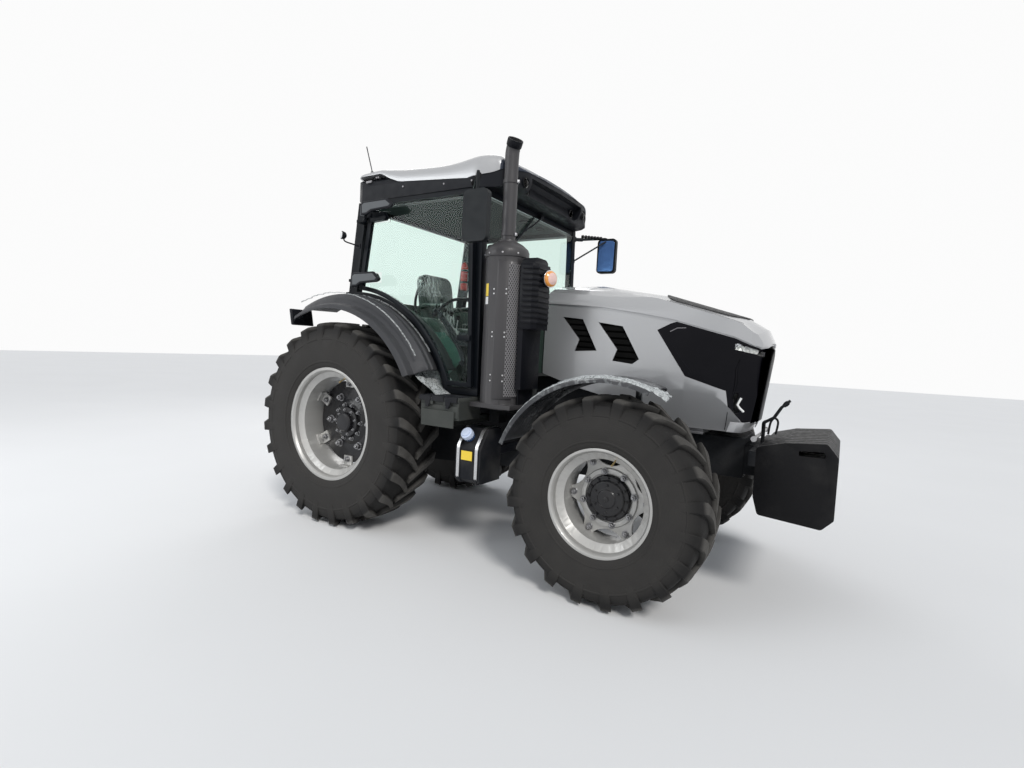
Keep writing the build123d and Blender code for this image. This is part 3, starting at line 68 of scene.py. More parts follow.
# ---------------------------------------------------------------- shader maths
class Value:
    """A number that varies over a surface; arithmetic on it adds Math nodes."""

    def __init__(self, finish, socket):
        self.finish, self.socket = finish, socket

    def math(self, kind, *others):
        terms = {i: v for i, v in enumerate((self, *others))}
        return self.finish.node("ShaderNodeMath", {"operation": kind}, terms)[0]

    def __add__(self, other):
        return self.math("ADD", other)

    def __sub__(self, other):
        return self.math("SUBTRACT", other)

    def __mul__(self, other):
        return self.math("MULTIPLY", other)

    def __truediv__(self, other):
        return self.math("DIVIDE", other)

    def __rsub__(self, other):
        return self.math("MULTIPLY", -1) + other

    def __gt__(self, other):
        return self.math("GREATER_THAN", other)

    def __lt__(self, other):
        return self.math("LESS_THAN", other)

    __radd__, __rmul__ = __add__, __mul__


class Finish:
    """A material and the few node patterns that the finishes share."""

    def __init__(self, name, colour, roughness=0.5, **sockets):
        self.material = bpy.data.materials.new(name)
        self.material.use_nodes = True
        self.tree = self.material.node_tree
        self.shader = self.tree.nodes["Principled BSDF"]
        self.set(**{"Base Color": (*colour, 1), "Roughness": roughness})
        self.set(**{key.replace("_", " "): value for key, value in sockets.items()})
        place = self.node("ShaderNodeTexCoord").node.outputs["Object"]
        self.place = Value(self, place)

    def put(self, node, key, value):
        socket = node.inputs[key]
        if isinstance(value, Outputs):
            value = value[0]
        if isinstance(value, Value):
            self.tree.links.new(value.socket, socket)
        else:
            socket.default_value = value

    def node(self, kind, settings=None, inputs=None):
        made = self.tree.nodes.new(kind)
        for key, value in (settings or {}).items():
            if key == "stops":
                ramp = made.color_ramp.elements
                while len(ramp) < len(value):
                    ramp.new(0.5)
                for element, (at, colour) in zip(ramp, value):
                    element.position, element.color = at, colour
            else:
                setattr(made, key, value)
        for key, value in (inputs or {}).items():
            self.put(made, key, value)
        return Outputs(self, made)

    def set(self, **sockets):
        for key, value in sockets.items():
            self.put(self.shader, key, value)
        return self

    def shifted(self, centre):
        return self.node("ShaderNodeVectorMath", {"operation": "SUBTRACT"}, {0: self.place, 1: centre})[0]

    def stretched(self, scale):
        return self.node("ShaderNodeVectorMath", {"operation": "MULTIPLY"}, {0: self.place, 1: scale})[0]

    def axes(self, vector=None):
        split = self.node("ShaderNodeSeparateXYZ", None, {0: vector or self.place})
        return split[0], split[1], split[2]

    def noise(self, scale, detail=3.0, vector=None, rough=0.5):
        return self.node("ShaderNodeTexNoise", None, {"Vector": vector or self.place, "Scale": scale,
                                                      "Detail": detail, "Roughness": rough})[0]

    def cells(self, scale, vector=None, feature="F1"):
        return self.node("ShaderNodeTexVoronoi", {"feature": feature},
                         {"Vector": vector or self.place, "Scale": scale})[0]

    def range(self, value, low, high, out_low=0.0, out_high=1.0):
        return self.node("ShaderNodeMapRange", None,
                         {0: value, 1: low, 2: high, 3: out_low, 4: out_high})[0]

    def blend(self, share, first, second):
        mixed = self.node("ShaderNodeMix", {"data_type": "RGBA"}, {0: share, 6: first, 7: second})
        return Value(self, mixed.node.outputs[2])

    def relief(self, height, depth, strength=1.0):
        bump = self.node("ShaderNodeBump", None,
                         {"Strength": strength, "Distance": depth, "Height": height})
        return self.set(Normal=bump)


class Outputs:
    def __init__(self, finish, node):
        self.finish, self.node = finish, node

    def __getitem__(self, index):
        return Value(self.finish, self.node.outputs[index])


def rgba(colour, gain=1.0):
    return (*[min(1.0, c * gain) for c in colour], 1)


# ---------------------------------------------------------------- finishes
def paint(name, colour, roughness=0.32, metallic=0.0, coat=0.5, dust=0.25, shine=0.3):
    """Sprayed paint: faint orange peel, a tone that drifts a little, and dust near the ground."""
    f = Finish(name, colour, roughness, Metallic=metallic, Coat_Roughness=0.08, Specular_IOR_Level=shine)
    height = f.axes()[2]
    low = f.range(height, 1.3, 0.3)
    patches = f.range(f.noise(6.0, 5.0), 0.45, 0.75)
    dirt = patches * low * dust
    tone = f.blend(f.noise(1.7, 2.0), rgba(colour, 0.93), rgba(colour, 1.06))
    f.set(**{"Base Color": f.blend(dirt, tone, (0.15, 0.14, 0.125, 1))})
    f.set(Roughness=dirt * 0.5 + f.range(f.noise(25.0, 3.0), 0.3, 0.7, roughness - 0.04, roughness + 0.05))
    f.set(**{"Coat Weight": (1 - dirt) * coat})
    return f.relief(f.noise(420.0, 1.0) * 0.5 + f.noise(60.0, 2.0), 0.0002)


def flake_paint(name, colour, roughness=0.30, coat=0.8):
    """Silver paint with fine flakes under a clear coat."""
    f = Finish(name, colour, roughness, Metallic=0.45, Coat_Roughness=0.05, Coat_Weight=coat)
    flakes = f.range(f.cells(900.0), 0.2, 0.9)
    drift = f.noise(1.3, 2.0)
    tone = f.blend(drift, rgba(colour, 0.95), rgba(colour, 1.04))
    f.set(**{"Base Color": f.blend(flakes * 0.25, tone, rgba(colour, 0.80))})
    f.set(Roughness=f.range(flakes, 0.0, 1.0, roughness, roughness + 0.10))
    return f.relief(f.noise(300.0, 1.0), 0.0001)


def moulded(name, colour, roughness=0.55, grain=900.0, depth=0.0002, dust=0.35):
    """Moulded plastic with its fine leather-like grain."""
    f = Finish(name, colour, roughness, Specular_IOR_Level=0.14)
    height = f.axes()[2]
    low = f.range(height, 1.5, 0.3)
    dirt = f.range(f.noise(5.0, 5.0), 0.45, 0.8) * low * dust
    tone = f.blend(f.noise(2.5, 3.0), rgba(colour, 0.88), rgba(colour, 1.12))
    f.set(**{"Base Color": f.blend(dirt, tone, (0.16, 0.15, 0.135, 1))})
    f.set(Roughness=f.range(f.noise(14.0, 4.0), 0.3, 0.7, roughness - 0.06, roughness + 0.08))
    return f.relief(f.cells(grain, feature="SMOOTH_F1") + f.noise(grain * 0.6, 2.0) * 0.6, depth)


def glossy(name, colour, roughness=0.12, coat=0.8):
    """Gloss black trim with a slightly wavy skin."""
    f = Finish(name, colour, roughness, Metallic=1.0, Specular_Tint=(0.10, 0.10, 0.10, 1), Coat_Weight=coat)
    f.set(**{"Base Color": f.blend(f.noise(3.0), rgba(colour, 0.8), rgba(colour, 1.3))})
    f.set(Roughness=f.range(f.noise(9.0, 4.0), 0.3, 0.7, roughness - 0.03, roughness + 0.06))
    return f.relief(f.noise(11.0, 1.0), 0.0006)


def cast(name, colour, roughness=0.6):
    """Painted casting: sand-cast lumps under a thick coat, dusty in patches."""
    f = Finish(name, colour, roughness, Metallic=0.1, Specular_IOR_Level=0.15)
    pits = f.cells(160.0)
    lumps = f.noise(45.0, 5.0)
    dirt = f.range(f.noise(4.0, 6.0), 0.48, 0.8) * 0.22
    tone = f.blend(lumps, rgba(colour, 0.75), rgba(colour, 1.25))
    f.set(**{"Base Color": f.blend(dirt, tone, (0.075, 0.072, 0.068, 1))})
    f.set(Roughness=f.range(lumps, 0.3, 0.7, roughness - 0.1, roughness + 0.12))
    return f.relief(lumps + pits * 0.3, 0.0014)


def steel(name, colour=(0.55, 0.55, 0.56), roughness=0.3):
    """Machined or plated steel with fine turning marks."""
    f = Finish(name, colour, roughness, Metallic=1.0)
    marks = f.noise(60.0, 3.0, f.stretched((1.0, 14.0, 14.0)))
    f.set(**{"Base Color": f.blend(marks, rgba(colour, 0.8), rgba(colour, 1.1))})
    f.set(Roughness=f.range(marks, 0.3, 0.7, roughness - 0.08, roughness + 0.12))
    return f.relief(marks, 0.0002)


def tread_rubber(name, x, z, tread_r):
    """Tyre rubber: black below, with painted shade darkening the grooves between the lugs, paler and dusty
    on the worn lug faces, with faint rings on the wall.
    """
    f = Finish(name, (0.03, 0.03, 0.03), 0.75, Specular_IOR_Level=0.2)
    dx, _, dz = f.axes(f.shifted((x, 0, z)))
    r = (dx * dx + dz * dz).math("SQRT")
    outer = f.range(r, tread_r + 0.006, tread_r + 0.026)
    # painted shade: between the lugs and low on their sides the rubber is darkened nearly to black
    groove_shade = f.range(r, tread_r - 0.085, tread_r - 0.02) * (1 - outer)
    patches = f.range(f.noise(9.0, 6.0), 0.35, 0.7)
    dusty = outer * (patches * 0.45 + 0.35) + patches * 0.12
    tone = f.blend(f.noise(3.0, 4.0), (0.019, 0.018, 0.0175, 1), (0.036, 0.034, 0.032, 1))
    tone = f.blend(groove_shade * 0.75, tone, (0.006, 0.006, 0.0065, 1))
    f.set(**{"Base Color": f.blend(dusty, tone, (0.092, 0.088, 0.082, 1))})
    f.set(Roughness=f.range(patches, 0.0, 1.0, 0.62, 0.85))
    rings = (r * 520.0).math("SINE") * f.range(r, tread_r - 0.06, tread_r - 0.10)
    return f.relief(rings * 0.25 + f.noise(260.0, 4.0), 0.0007)


def pane(name, tint, roughness=0.0):
    """Tinted glass that lets lamplight through to what is behind it."""
    f = Finish(name, tint, roughness, Transmission_Weight=1.0, IOR=1.16)
    f.set(Roughness=f.range(f.noise(3.0, 2.0), 0.4, 0.8, roughness, roughness + 0.003))
    lamp_ray = f.node("ShaderNodeLightPath").node.outputs["Is Shadow Ray"]
    clear = f.node("ShaderNodeBsdfTransparent", None, {"Color": rgba(tint)})
    shown = Value(f, f.shader.outputs[0])
    mixed = f.node("ShaderNodeMixShader", None, {0: Value(f, lamp_ray), 1: shown, 2: clear})
    f.tree.links.new(mixed[0].socket, f.tree.nodes["Material Output"].inputs["Surface"])
    return f


def fins(name, colour, pitch):
    """Cooler core: upright fins between thin tubes, with painted shade in the gaps between the fins."""
    f = Finish(name, colour, 0.45, Metallic=0.8)
    _, y, z = f.axes()
    waves = (y * (tau / pitch)).math("SINE") + (z * (tau / (pitch * 3))).math("SINE") * 0.5
    # painted shade: the colour darkens in the troughs of the fin waves, where the gaps between fins would
    # be
    f.set(**{"Base Color": f.blend(f.range(waves, -1.0, 1.0), rgba(colour, 0.4), rgba(colour, 1.2))})
    f.set(Roughness=f.range(f.noise(20.0), 0.3, 0.7, 0.4, 0.6))
    return f.relief(waves, 0.001)


def perforated(name, colour, centre, pitch):
    """Guard plate round an upright can, with staggered rows of holes drawn as painted shade: dark spots
    sunk by a bump.
    """
    f = paint(name, colour, 0.5, 0.0, 0.1, 0.1)
    dx, dy, dz = f.axes(f.shifted(centre))
    turn = f.node("ShaderNodeMath", {"operation": "ARCTAN2"}, {0: dy, 1: dx})[0]
    around, up = turn * (0.156 * pi / pitch), dz * (pi / pitch)
    holes = ((around + up * 0.58).math("SINE") * (around - up * 0.58).math("SINE")).math("ABSOLUTE") > 0.56
    # painted shade: each hole is a near-black spot
    f.set(**{"Base Color": f.blend(holes, rgba(colour), (0.004, 0.004, 0.004, 1))})
    return f.relief(1 - holes, 0.002)


def mesh_cloth(name, colour, pitch):
    """Fine expanded-metal mesh, with painted shade in the openings between its strands."""
    f = Finish(name, colour, 0.45, Metallic=0.3)
    x, y, z = f.axes()
    a, b = (x + z) * (pi / pitch), y * (pi / pitch)
    strands = ((a + b).math("SINE") * (a - b).math("SINE")).math("ABSOLUTE") < 0.35
    # painted shade: the openings between the strands are near-black
    f.set(**{"Base Color": f.blend(strands, (0.003, 0.003, 0.003, 1), rgba(colour))})
    f.set(Roughness=f.range(f.noise(20.0), 0.3, 0.7, 0.4, 0.6))
    return f.relief(strands * 1.0, 0.002)


def filmed(name, colour, roughness=0.4, scale=(1.0, 0.35, 1.0), gain=0.45):
    """Moulded plastic still in its clear packing film, wrinkled and glossy, with painted highlights along
    the film's creases.
    """
    f = Finish(name, colour, roughness, Coat_Roughness=0.06, Specular_IOR_Level=0.3)
    folds = f.noise(26.0, 4.0, f.stretched(scale), 0.6)
    creases = (folds - 0.5).math("ABSOLUTE") * -9 + 1
    loose = f.range(f.noise(3.0, 2.0), 0.40, 0.58)
    bright = f.range(creases, 0.45, 1.0) * loose
    # painted highlight: the film's creases are lightened towards a pale grey, as strongly as gain sets
    f.set(**{"Base Color": f.blend(bright * gain, rgba(colour), (0.72, 0.77, 0.76, 1))})
    f.set(Roughness=f.range(loose, 0.0, 1.0, roughness, 0.16))
    f.set(**{"Coat Weight": loose})
    return f.relief(folds * loose, 0.012)


def clear_film(name, colour=(0.80, 0.84, 0.84), thin=0.30, thick=0.75):
    """Crumpled clear packing film."""
    f = Finish(name, colour, 0.18, IOR=1.45)
    folds = f.noise(34.0, 5.0, None, 0.7)
    creases = (folds - 0.5).math("ABSOLUTE") * -7 + 1
    f.set(Alpha=f.range(creases, 0.3, 1.0, thin, thick))
    f.set(Roughness=f.range(folds, 0.3, 0.7, 0.10, 0.28))
    return f.relief(folds, 0.012)


def plain_label(name, colour):
    """A blank printed label: laminated, its tone a little uneven."""
    f = Finish(name, colour, 0.35, Coat_Weight=0.5)
    f.set(**{"Base Color": f.blend(f.noise(70.0, 4.0), rgba(colour, 0.9), rgba(colour, 1.08))})
    f.set(Roughness=f.range(f.noise(40.0, 3.0), 0.3, 0.7, 0.28, 0.45))
    return f.relief(f.noise(300.0), 0.0001)


def reflector(name, colour=(0.85, 0.86, 0.88)):
    """Faceted bright reflector of a lamp."""
    f = Finish(name, colour, 0.12, Metallic=1.0)
    facets = f.cells(90.0)
    f.set(**{"Base Color": f.blend(facets, rgba(colour, 0.7), rgba(colour, 1.1))})
    f.set(Roughness=f.range(facets, 0.0, 1.0, 0.06, 0.22))
    return f.relief(facets, 0.002)


def woven(name, colour, thread=1400.0, sheen=0.3):
    """Seat cloth: crossed threads and a soft sheen."""
    f = Finish(name, colour, 0.9, Sheen_Weight=sheen, Sheen_Roughness=0.5, Specular_IOR_Level=0.1)
    x, y, z = f.axes()
    weave = (x * thread).math("SINE") * (y * thread).math("SINE") + (z * thread).math("SINE") * 0.5
    tone = f.blend(f.noise(30.0, 5.0), rgba(colour, 0.7), rgba(colour, 1.35))
    f.set(**{"Base Color": f.blend(f.range(weave, -1.0, 1.0) * 0.4, tone, rgba(colour, 0.45))})
    f.set(Roughness=f.range(weave, -1.0, 1.0, 0.82, 0.95))
    return f.relief(weave, 0.0006)


finishes = {
    "hood_silver": flake_paint("silver_paint", (0.40, 0.405, 0.415)),
    "rim_silver": flake_paint("wheel_silver", (0.43, 0.425, 0.41), 0.36, 0.4),
    "mask_black": glossy("gloss_black", (0.012, 0.012, 0.014), 0.14, 0.0),
    "chassis_grey": paint("chassis_paint", (0.011, 0.012, 0.014), 0.45, 0.0, 0.05, 0.25, 0.12),
    "cast_grey": cast("chassis_casting", (0.010, 0.011, 0.013)),
    "weight_black": cast("ballast_casting", (0.007, 0.007, 0.008), 0.5),
    "exhaust_black": paint("exhaust_paint", (0.050, 0.048, 0.050), 0.45, 0.0, 0.1, 0.1),
    "fender_plastic": moulded("fender_plastic", (0.050, 0.051, 0.055), 0.42),
    "trim_black": moulded("trim_plastic", (0.009, 0.010, 0.013), 0.45),
    "cab_black": paint("cab_coat", (0.0055, 0.0070, 0.0095), 0.36, 0.0, 0.0, 0.1, 0.09),
    "tinted_glass": pane("tinted_glass", (0.84, 0.935, 0.90)),
    "lamp_lens": pane("lamp_lens", (0.95, 0.96, 0.96)),
    "seat_fabric": woven("seat_cloth", (0.05, 0.052, 0.056)),
    "steel": steel("bright_steel"),
    "mirror_shell": moulded("mirror_plastic", (0.010, 0.012, 0.014), 0.4),
    "hub_black": paint("hub_paint", (0.007, 0.007, 0.009), 0.30, 0.0, 0.25, 0.12),
    "cap_blue": moulded("cap_plastic", (0.62, 0.70, 0.86), 0.4, dust=0.1),
    "cooler_core": fins("cooler_core", (0.20, 0.20, 0.21), 0.006),
}
more = {
    "mesh": mesh_cloth("grille_mesh", (0.05, 0.05, 0.052), 0.009),
    "filmed_fender": filmed("filmed_fender", (0.040, 0.041, 0.045), 0.4, (0.4, 3.0, 0.4), 0.22),
    "filmed_lining": filmed("filmed_lining", (0.022, 0.040, 0.034), 0.4, (1.0, 1.0, 0.5), 0.50),
    "filmed_seat": filmed("filmed_seat", (0.016, 0.030, 0.026), 0.5, (0.45, 2.2, 0.35), 0.85),
    "step_grey": moulded("step_plastic", (0.052, 0.056, 0.052), 0.5),
    "bellows": moulded("bellows_rubber", (0.012, 0.013, 0.014), 0.6, 500.0),
    "cap_red": moulded("cap_red", (0.45, 0.02, 0.02), 0.4, dust=0.1),
    "cap_yellow": moulded("cap_yellow", (0.70, 0.50, 0.03), 0.4, dust=0.1),
    "cab_lining": moulded("cab_lining", (0.032, 0.050, 0.042), 0.5, 700.0, 0.0002, 0.0),
    "intake_dark": moulded("intake_plastic", (0.005, 0.0055, 0.008), 0.4),
    "visor_slate": moulded("visor_plastic", (0.040, 0.047, 0.064), 0.4, 900.0, 0.0001, 0.0),
    "hinge_grey": moulded("hinge_cover", (0.115, 0.122, 0.128), 0.5),
    "daylight_strip": plain_label("light_strip", (0.86, 0.87, 0.85)),
    "chrome": steel("lamp_chrome", (0.75, 0.76, 0.78), 0.12),
    "film": clear_film("packing_film"),
    "edge_film": clear_film("edge_film", (0.50, 0.52, 0.52), 0.05, 0.80),
    "yellow_label": plain_label("yellow_label", (0.85, 0.60, 0.03)),
    "white_label": plain_label("white_label", (0.75, 0.75, 0.75)),
    "reflector": reflector("lamp_reflector"),
    "amber": plain_label("amber_lens", (0.80, 0.32, 0.05)),
    "red_lens": plain_label("red_lens", (0.45, 0.01, 0.01)),
    "red_paint": paint("extinguisher_red", (0.50, 0.015, 0.012), 0.25, 0.0, 0.8, 0.0),
    # painted reflection: the blue stands in for the sky seen in the mirrors
    "mirror_glass": paint("mirror_glass", (0.12, 0.25, 0.58), 0.12, 0.35, 0.0, 0.0, 0.3),
    "seal": moulded("rubber_seal", (0.010, 0.010, 0.011), 0.7, 500.0, 0.0002, 0.2),
    # near-black and dull: painted shade in holes and recesses, behind the hood's vents and in the stack's
    # mouth; also the black of the vent grilles and the chin seams
    "dark_hole": moulded("recess_black", (0.003, 0.003, 0.003), 0.9, 300.0, 0.0001, 0.0),
    "window_line": plain_label("window_bracket", (0.22, 0.21, 0.22)),
    "dark_steel": steel("zinc_bolt", (0.30, 0.30, 0.31), 0.35),
    "brass": steel("valve_brass", (0.55, 0.42, 0.20), 0.3),
    "pink_lens": plain_label("marker_lens", (0.80, 0.55, 0.50)),
    "blue_ring": moulded("blue_collar", (0.03, 0.07, 0.18), 0.45, dust=0.1),
    "lining": moulded("roof_lining", (0.020, 0.032, 0.030), 0.85, 500.0, 0.0003, 0.0),
    "wrap_film": filmed("wrap_film", (0.060, 0.150, 0.120), 0.3, (1.0, 1.0, 0.45), 0.75),
}
slot_of = {part["node"]: part["material_slot"] for part in frame["record"]["subparts"]}


def dress(thing, finish):
    thing.data.materials.clear()
    thing.data.materials.append(finish.material)


# ---------------------------------------------------------------- making pieces
def piece(name, points, faces, body, slot, finish=None, crease=35, bevel=0.0, steps=2):
    """A mesh piece that rides on a body; bevel rounds its edges."""
    mesh = bpy.data.meshes.new(name)
    mesh.from_pydata([tuple(p) for p in points], [], faces)
    work = bmesh.new()
    work.from_mesh(mesh)
    bmesh.ops.recalc_face_normals(work, faces=work.faces)
    work.to_mesh(mesh)
    work.free()
    return finished(name, mesh, body, slot, finish, crease, bevel, steps)


def finished(name, mesh, body, slot, finish=None, crease=35, bevel=0.0, steps=2):
    thing = bpy.data.objects.new(name, mesh)
    bpy.context.scene.collection.objects.link(thing)
    if bevel:
        rounding = thing.modifiers.new("rounding", "BEVEL")
        rounding.width, rounding.segments = bevel, steps
        rounding.limit_method, rounding.angle_limit = "ANGLE", radians(28)
        rounding.harden_normals = False
    mesh.shade_smooth()
    mesh.set_sharp_from_angle(angle=radians(crease))
    dress(thing, finish or finishes[slot])
    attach(thing, body)
    return thing


def skin(rows, closed=True, capped=True, start=0):
    """Faces between rows of equally many points; closed joins each row's last point to its first."""
    n = len(rows[0])
    faces = []
    for j in range(len(rows) - 1):
        a, b = start + j * n, start + (j + 1) * n
        for i in range(n if closed else n - 1):
            k = (i + 1) % n
            faces.append((a + i, a + k, b + k, b + i))
    if capped:
        faces.append(tuple(range(start, start + n)))
        faces.append(tuple(range(start + (len(rows) - 1) * n, start + len(rows) * n)))
    return faces


class Stock:
    """Points and faces gathered for one piece."""

    def __init__(self):
        self.points, self.faces = [], []

    def rows(self, rows, closed=True, capped=True):
        self.faces += skin(rows, closed, capped, len(self.points))
        self.points += [Vector(p) for row in rows for p in row]
        return self

    def round(self, profile, origin, axis, count=24, phase=0.0):
        """Turned form: profile (along, radius) from origin along axis."""
        axis, origin = Vector(axis).normalized(), Vector(origin)
        side = axis.orthogonal()
        side = (side - axis * side.dot(axis)).normalized()
        up = axis.cross(side)
        return self.rows([[origin + axis * s + (side * cos(a + phase) + up * sin(a + phase)) * r
                           for a in (tau * i / count for i in range(count))] for s, r in profile])

    def nut(self, origin, axis, across, tall):
        """A hexagon nut on its washer, with the stud's end showing."""
        r = across / sqrt(3)
        self.round([(0, r * 1.25), (0.15 * tall, r * 1.25)], origin, axis, 20)
        self.round([(0.1 * tall, r), (0.85 * tall, r), (tall, r * 0.86)], origin, axis, 6, random.random())
        return self.round([(0.5 * tall, r * 0.5), (1.35 * tall, r * 0.5), (1.45 * tall, r * 0.4)], origin,
                          axis, 12)

    def tube(self, path, radius, count=12):
        """A round bar through the points of path, with mitred bends."""
        path = [Vector(p) for p in path]
        rows, side = [], None
        for i, p in enumerate(path):
            before = (p - path[i - 1]).normalized() if i else (path[1] - p).normalized()
            after = (path[i + 1] - p).normalized() if i < len(path) - 1 else before
            ahead = (before + after).normalized()
            side = ahead.orthogonal() if side is None else side - ahead * side.dot(ahead)
            side.normalize()
            up = ahead.cross(side)
            r = radius[i] if isinstance(radius, (list, tuple)) else radius
            rows.append([p + (side * cos(a) + up * sin(a)) * r
                         for a in (tau * k / count for k in range(count))])
        return self.rows(rows)

    def block(self, lo, hi):
        (x0, y0, z0), (x1, y1, z1) = lo, hi
        return self.rows([[(x0, y0, z), (x1, y0, z), (x1, y1, z), (x0, y1, z)] for z in (z0, z1)])

    def slab(self, outline, offset):
        """A flat outline of 3-D corners, carried along offset."""
        outline = [Vector(p) for p in outline]
        return self.rows([outline, [p + Vector(offset) for p in outline]])

    def piece(self, name, body, slot, finish=None, **how):
        return piece(name, self.points, self.faces, body, slot, finish, **how)


def arc_path(points, steps=6):
    """Points on a smooth line through the given ones."""
    points = [Vector(p) for p in points]
    path = []
    for i in range(len(points) - 1):
        p0, p1 = points[max(i - 1, 0)], points[i]
        p2, p3 = points[i + 1], points[min(i + 2, len(points) - 1)]
        for k in range(steps):
            u = k / steps
            path.append(0.5 * (2 * p1 + (p2 - p0) * u + (2 * p0 - 5 * p1 + 4 * p2 - p3) * u * u
                               + (3 * p1 - p0 - 3 * p2 + p3) * u**3))
    return path + [points[-1]]


def softened(node, width, finish=None, steps=2, angle=28, cuts=(), change=None):
    """Stands for a rigid CAD node: the same form with its edges broken, and its points moved by change."""
    source = frame["nodes"][node]
    mesh = source.data.copy()
    work = bmesh.new()
    work.from_mesh(mesh)
    bmesh.ops.remove_doubles(work, verts=work.verts, dist=0.00005)
    bmesh.ops.dissolve_limit(work, angle_limit=radians(0.8), verts=work.verts, edges=work.edges)
    for at, across in cuts:
        bmesh.ops.bisect_plane(work, geom=work.verts[:] + work.edges[:] + work.faces[:], plane_co=at,
                               plane_no=across)
    if change:
        bmesh.ops.triangulate(work, faces=work.faces)
        for vert in work.verts:
            vert.co = change(vert.co.copy())
    work.to_mesh(mesh)
    work.free()
    thing = bpy.data.objects.new(f"{node}_form", mesh)
    bpy.context.scene.collection.objects.link(thing)
    rounding = thing.modifiers.new("rounding", "BEVEL")
    rounding.width, rounding.segments, rounding.use_clamp_overlap = width, steps, True
    rounding.limit_method, rounding.angle_limit, rounding.harden_normals = "ANGLE", radians(angle), True
    mesh.shade_smooth()
    if change:
        even = thing.modifiers.new("even", "WEIGHTED_NORMAL")
        even.mode, even.weight, even.keep_sharp = "FACE_AREA_WITH_ANGLE", 60, True
    slot = slot_of[node]
    dress(thing, finish or finishes[slot])
    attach(thing, source["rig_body"])
    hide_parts(node)
    return thing


# ---------------------------------------------------------------- tyres
TYRE_STEPS = 144                     # around the carcass


def tyre_piece(place, side, lugs, lug_deep, turns):
    node = f"tyre_{place}_{side}"
    lo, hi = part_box(node)
    rim_lo, rim_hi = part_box(f"rim_{place}_{side}")
    x, y, z = (lo.x + hi.x) / 2, (lo.y + hi.y) / 2, (lo.z + hi.z) / 2
    r, width = (hi.z - lo.z) / 2, hi.y - lo.y
    bead = (rim_hi.z - rim_lo.z) / 2 - 0.028 + 0.001
    wall, tread = r - bead, r - lug_deep
    half_profile = [  # share of the width from the middle, radius
        (0.0, tread + 0.006), (0.15, tread + 0.005), (0.30, tread), (0.40, tread - 0.008),
        (0.445, tread - 0.022),
        (0.466, bead + 0.74 * wall), (0.480, bead + 0.668 * wall), (0.4915, bead + 0.660 * wall),
        (0.4925, bead + 0.640 * wall), (0.484, bead + 0.630 * wall), (0.489, bead + 0.56 * wall),
        (0.496, bead + 0.42 * wall), (0.492, bead + 0.28 * wall), (0.483, bead + 0.205 * wall),
        (0.4885, bead + 0.198 * wall), (0.485, bead + 0.170 * wall), (0.474, bead + 0.162 * wall),
        (0.466, bead + 0.125 * wall), (0.440, bead + 0.060 * wall),
        (0.432, bead + 0.052 * wall), (0.425, bead + 0.030 * wall), (0.375, bead)]
    profile = half_profile[::-1] + [(-t, v) for t, v in half_profile[1:]]
    rows = [[Vector((x + v * cos(a), y + t * width, z + v * sin(a))) for t, v in profile]
            for a in (tau * i / TYRE_STEPS for i in range(TYRE_STEPS))]
    points = sum(rows, [])
    faces = skin(rows + [rows[0]], closed=True, capped=False)
    faces = [tuple(i % len(points) for i in face) for face in faces]
    path = [  # t as a share of the width, angle, half-width in degrees, top radius, base radius
        (0.491, 0.6, 1.90, bead + 0.665 * wall, bead + 0.45 * wall),
        (0.489, 0.3, 2.25, bead + 0.80 * wall, bead + 0.50 * wall),
        (0.470, 0.0, 2.50, r - 0.018, tread - 0.05),
        (0.425, -0.6, 2.50, r - 0.007, tread - 0.04),
        (0.340, -2.2, 2.25, r - 0.002, tread - 0.02),
        (0.240, -4.3, 2.05, r, tread - 0.02),
        (0.130, -7.2, 1.80, r, tread - 0.02),
        (0.040, -10.2, 1.62, r, tread - 0.02),
        (-0.035, -12.8, 1.50, r, tread - 0.02)]
    scale = turns / lugs
    for hand in (1, -1):
        for i in range(lugs):
            at = 360.0 * (i + (0.5 if hand < 0 else 0)) / lugs
            start = len(points)
            lug = []
            for t, angle, half, top, base in path:
                mid = at + angle * scale
                foot = half * scale * 1.22
                corners = ((mid - foot, base), (mid - half * scale, top), (mid + half * scale, top),
                           (mid + foot, base))
                lug.append([Vector((x + v * cos(radians(a)), y + hand * t * width, z + v * sin(radians(a))))
                            for a, v in corners])
            points += sum(lug, [])
            faces += skin(lug, start=start)
    rubber = tread_rubber(f"rubber_{place}_{side}", x, z, tread)
    made = piece(f"{place}_tyre_{side}", points, faces, f"wheel_{place}_{side}", "tyre", rubber, 40, 0.007,
                 2)
    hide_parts(node)


def tyres():
    for side in ("left", "right"):
        tyre_piece("rear", side, 24, 0.042, 24.0)
        tyre_piece("front", side, 20, 0.038, 24.0)


# ---------------------------------------------------------------- where things are
def middle(node):
    lo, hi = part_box(node)
    return (lo + hi) / 2


REAR = middle("tyre_rear_left")          # middles of the left wheels
FRONT = middle("tyre_front_left")
SIDES = (("left", 1), ("right", -1))


def polar(centre, radius, turn, t):
    """A point of a wheel: radius and angle about its middle, at distance t from the centre plane."""
    return Vector((centre.x + radius * cos(turn), t, centre.z + radius * sin(turn)))


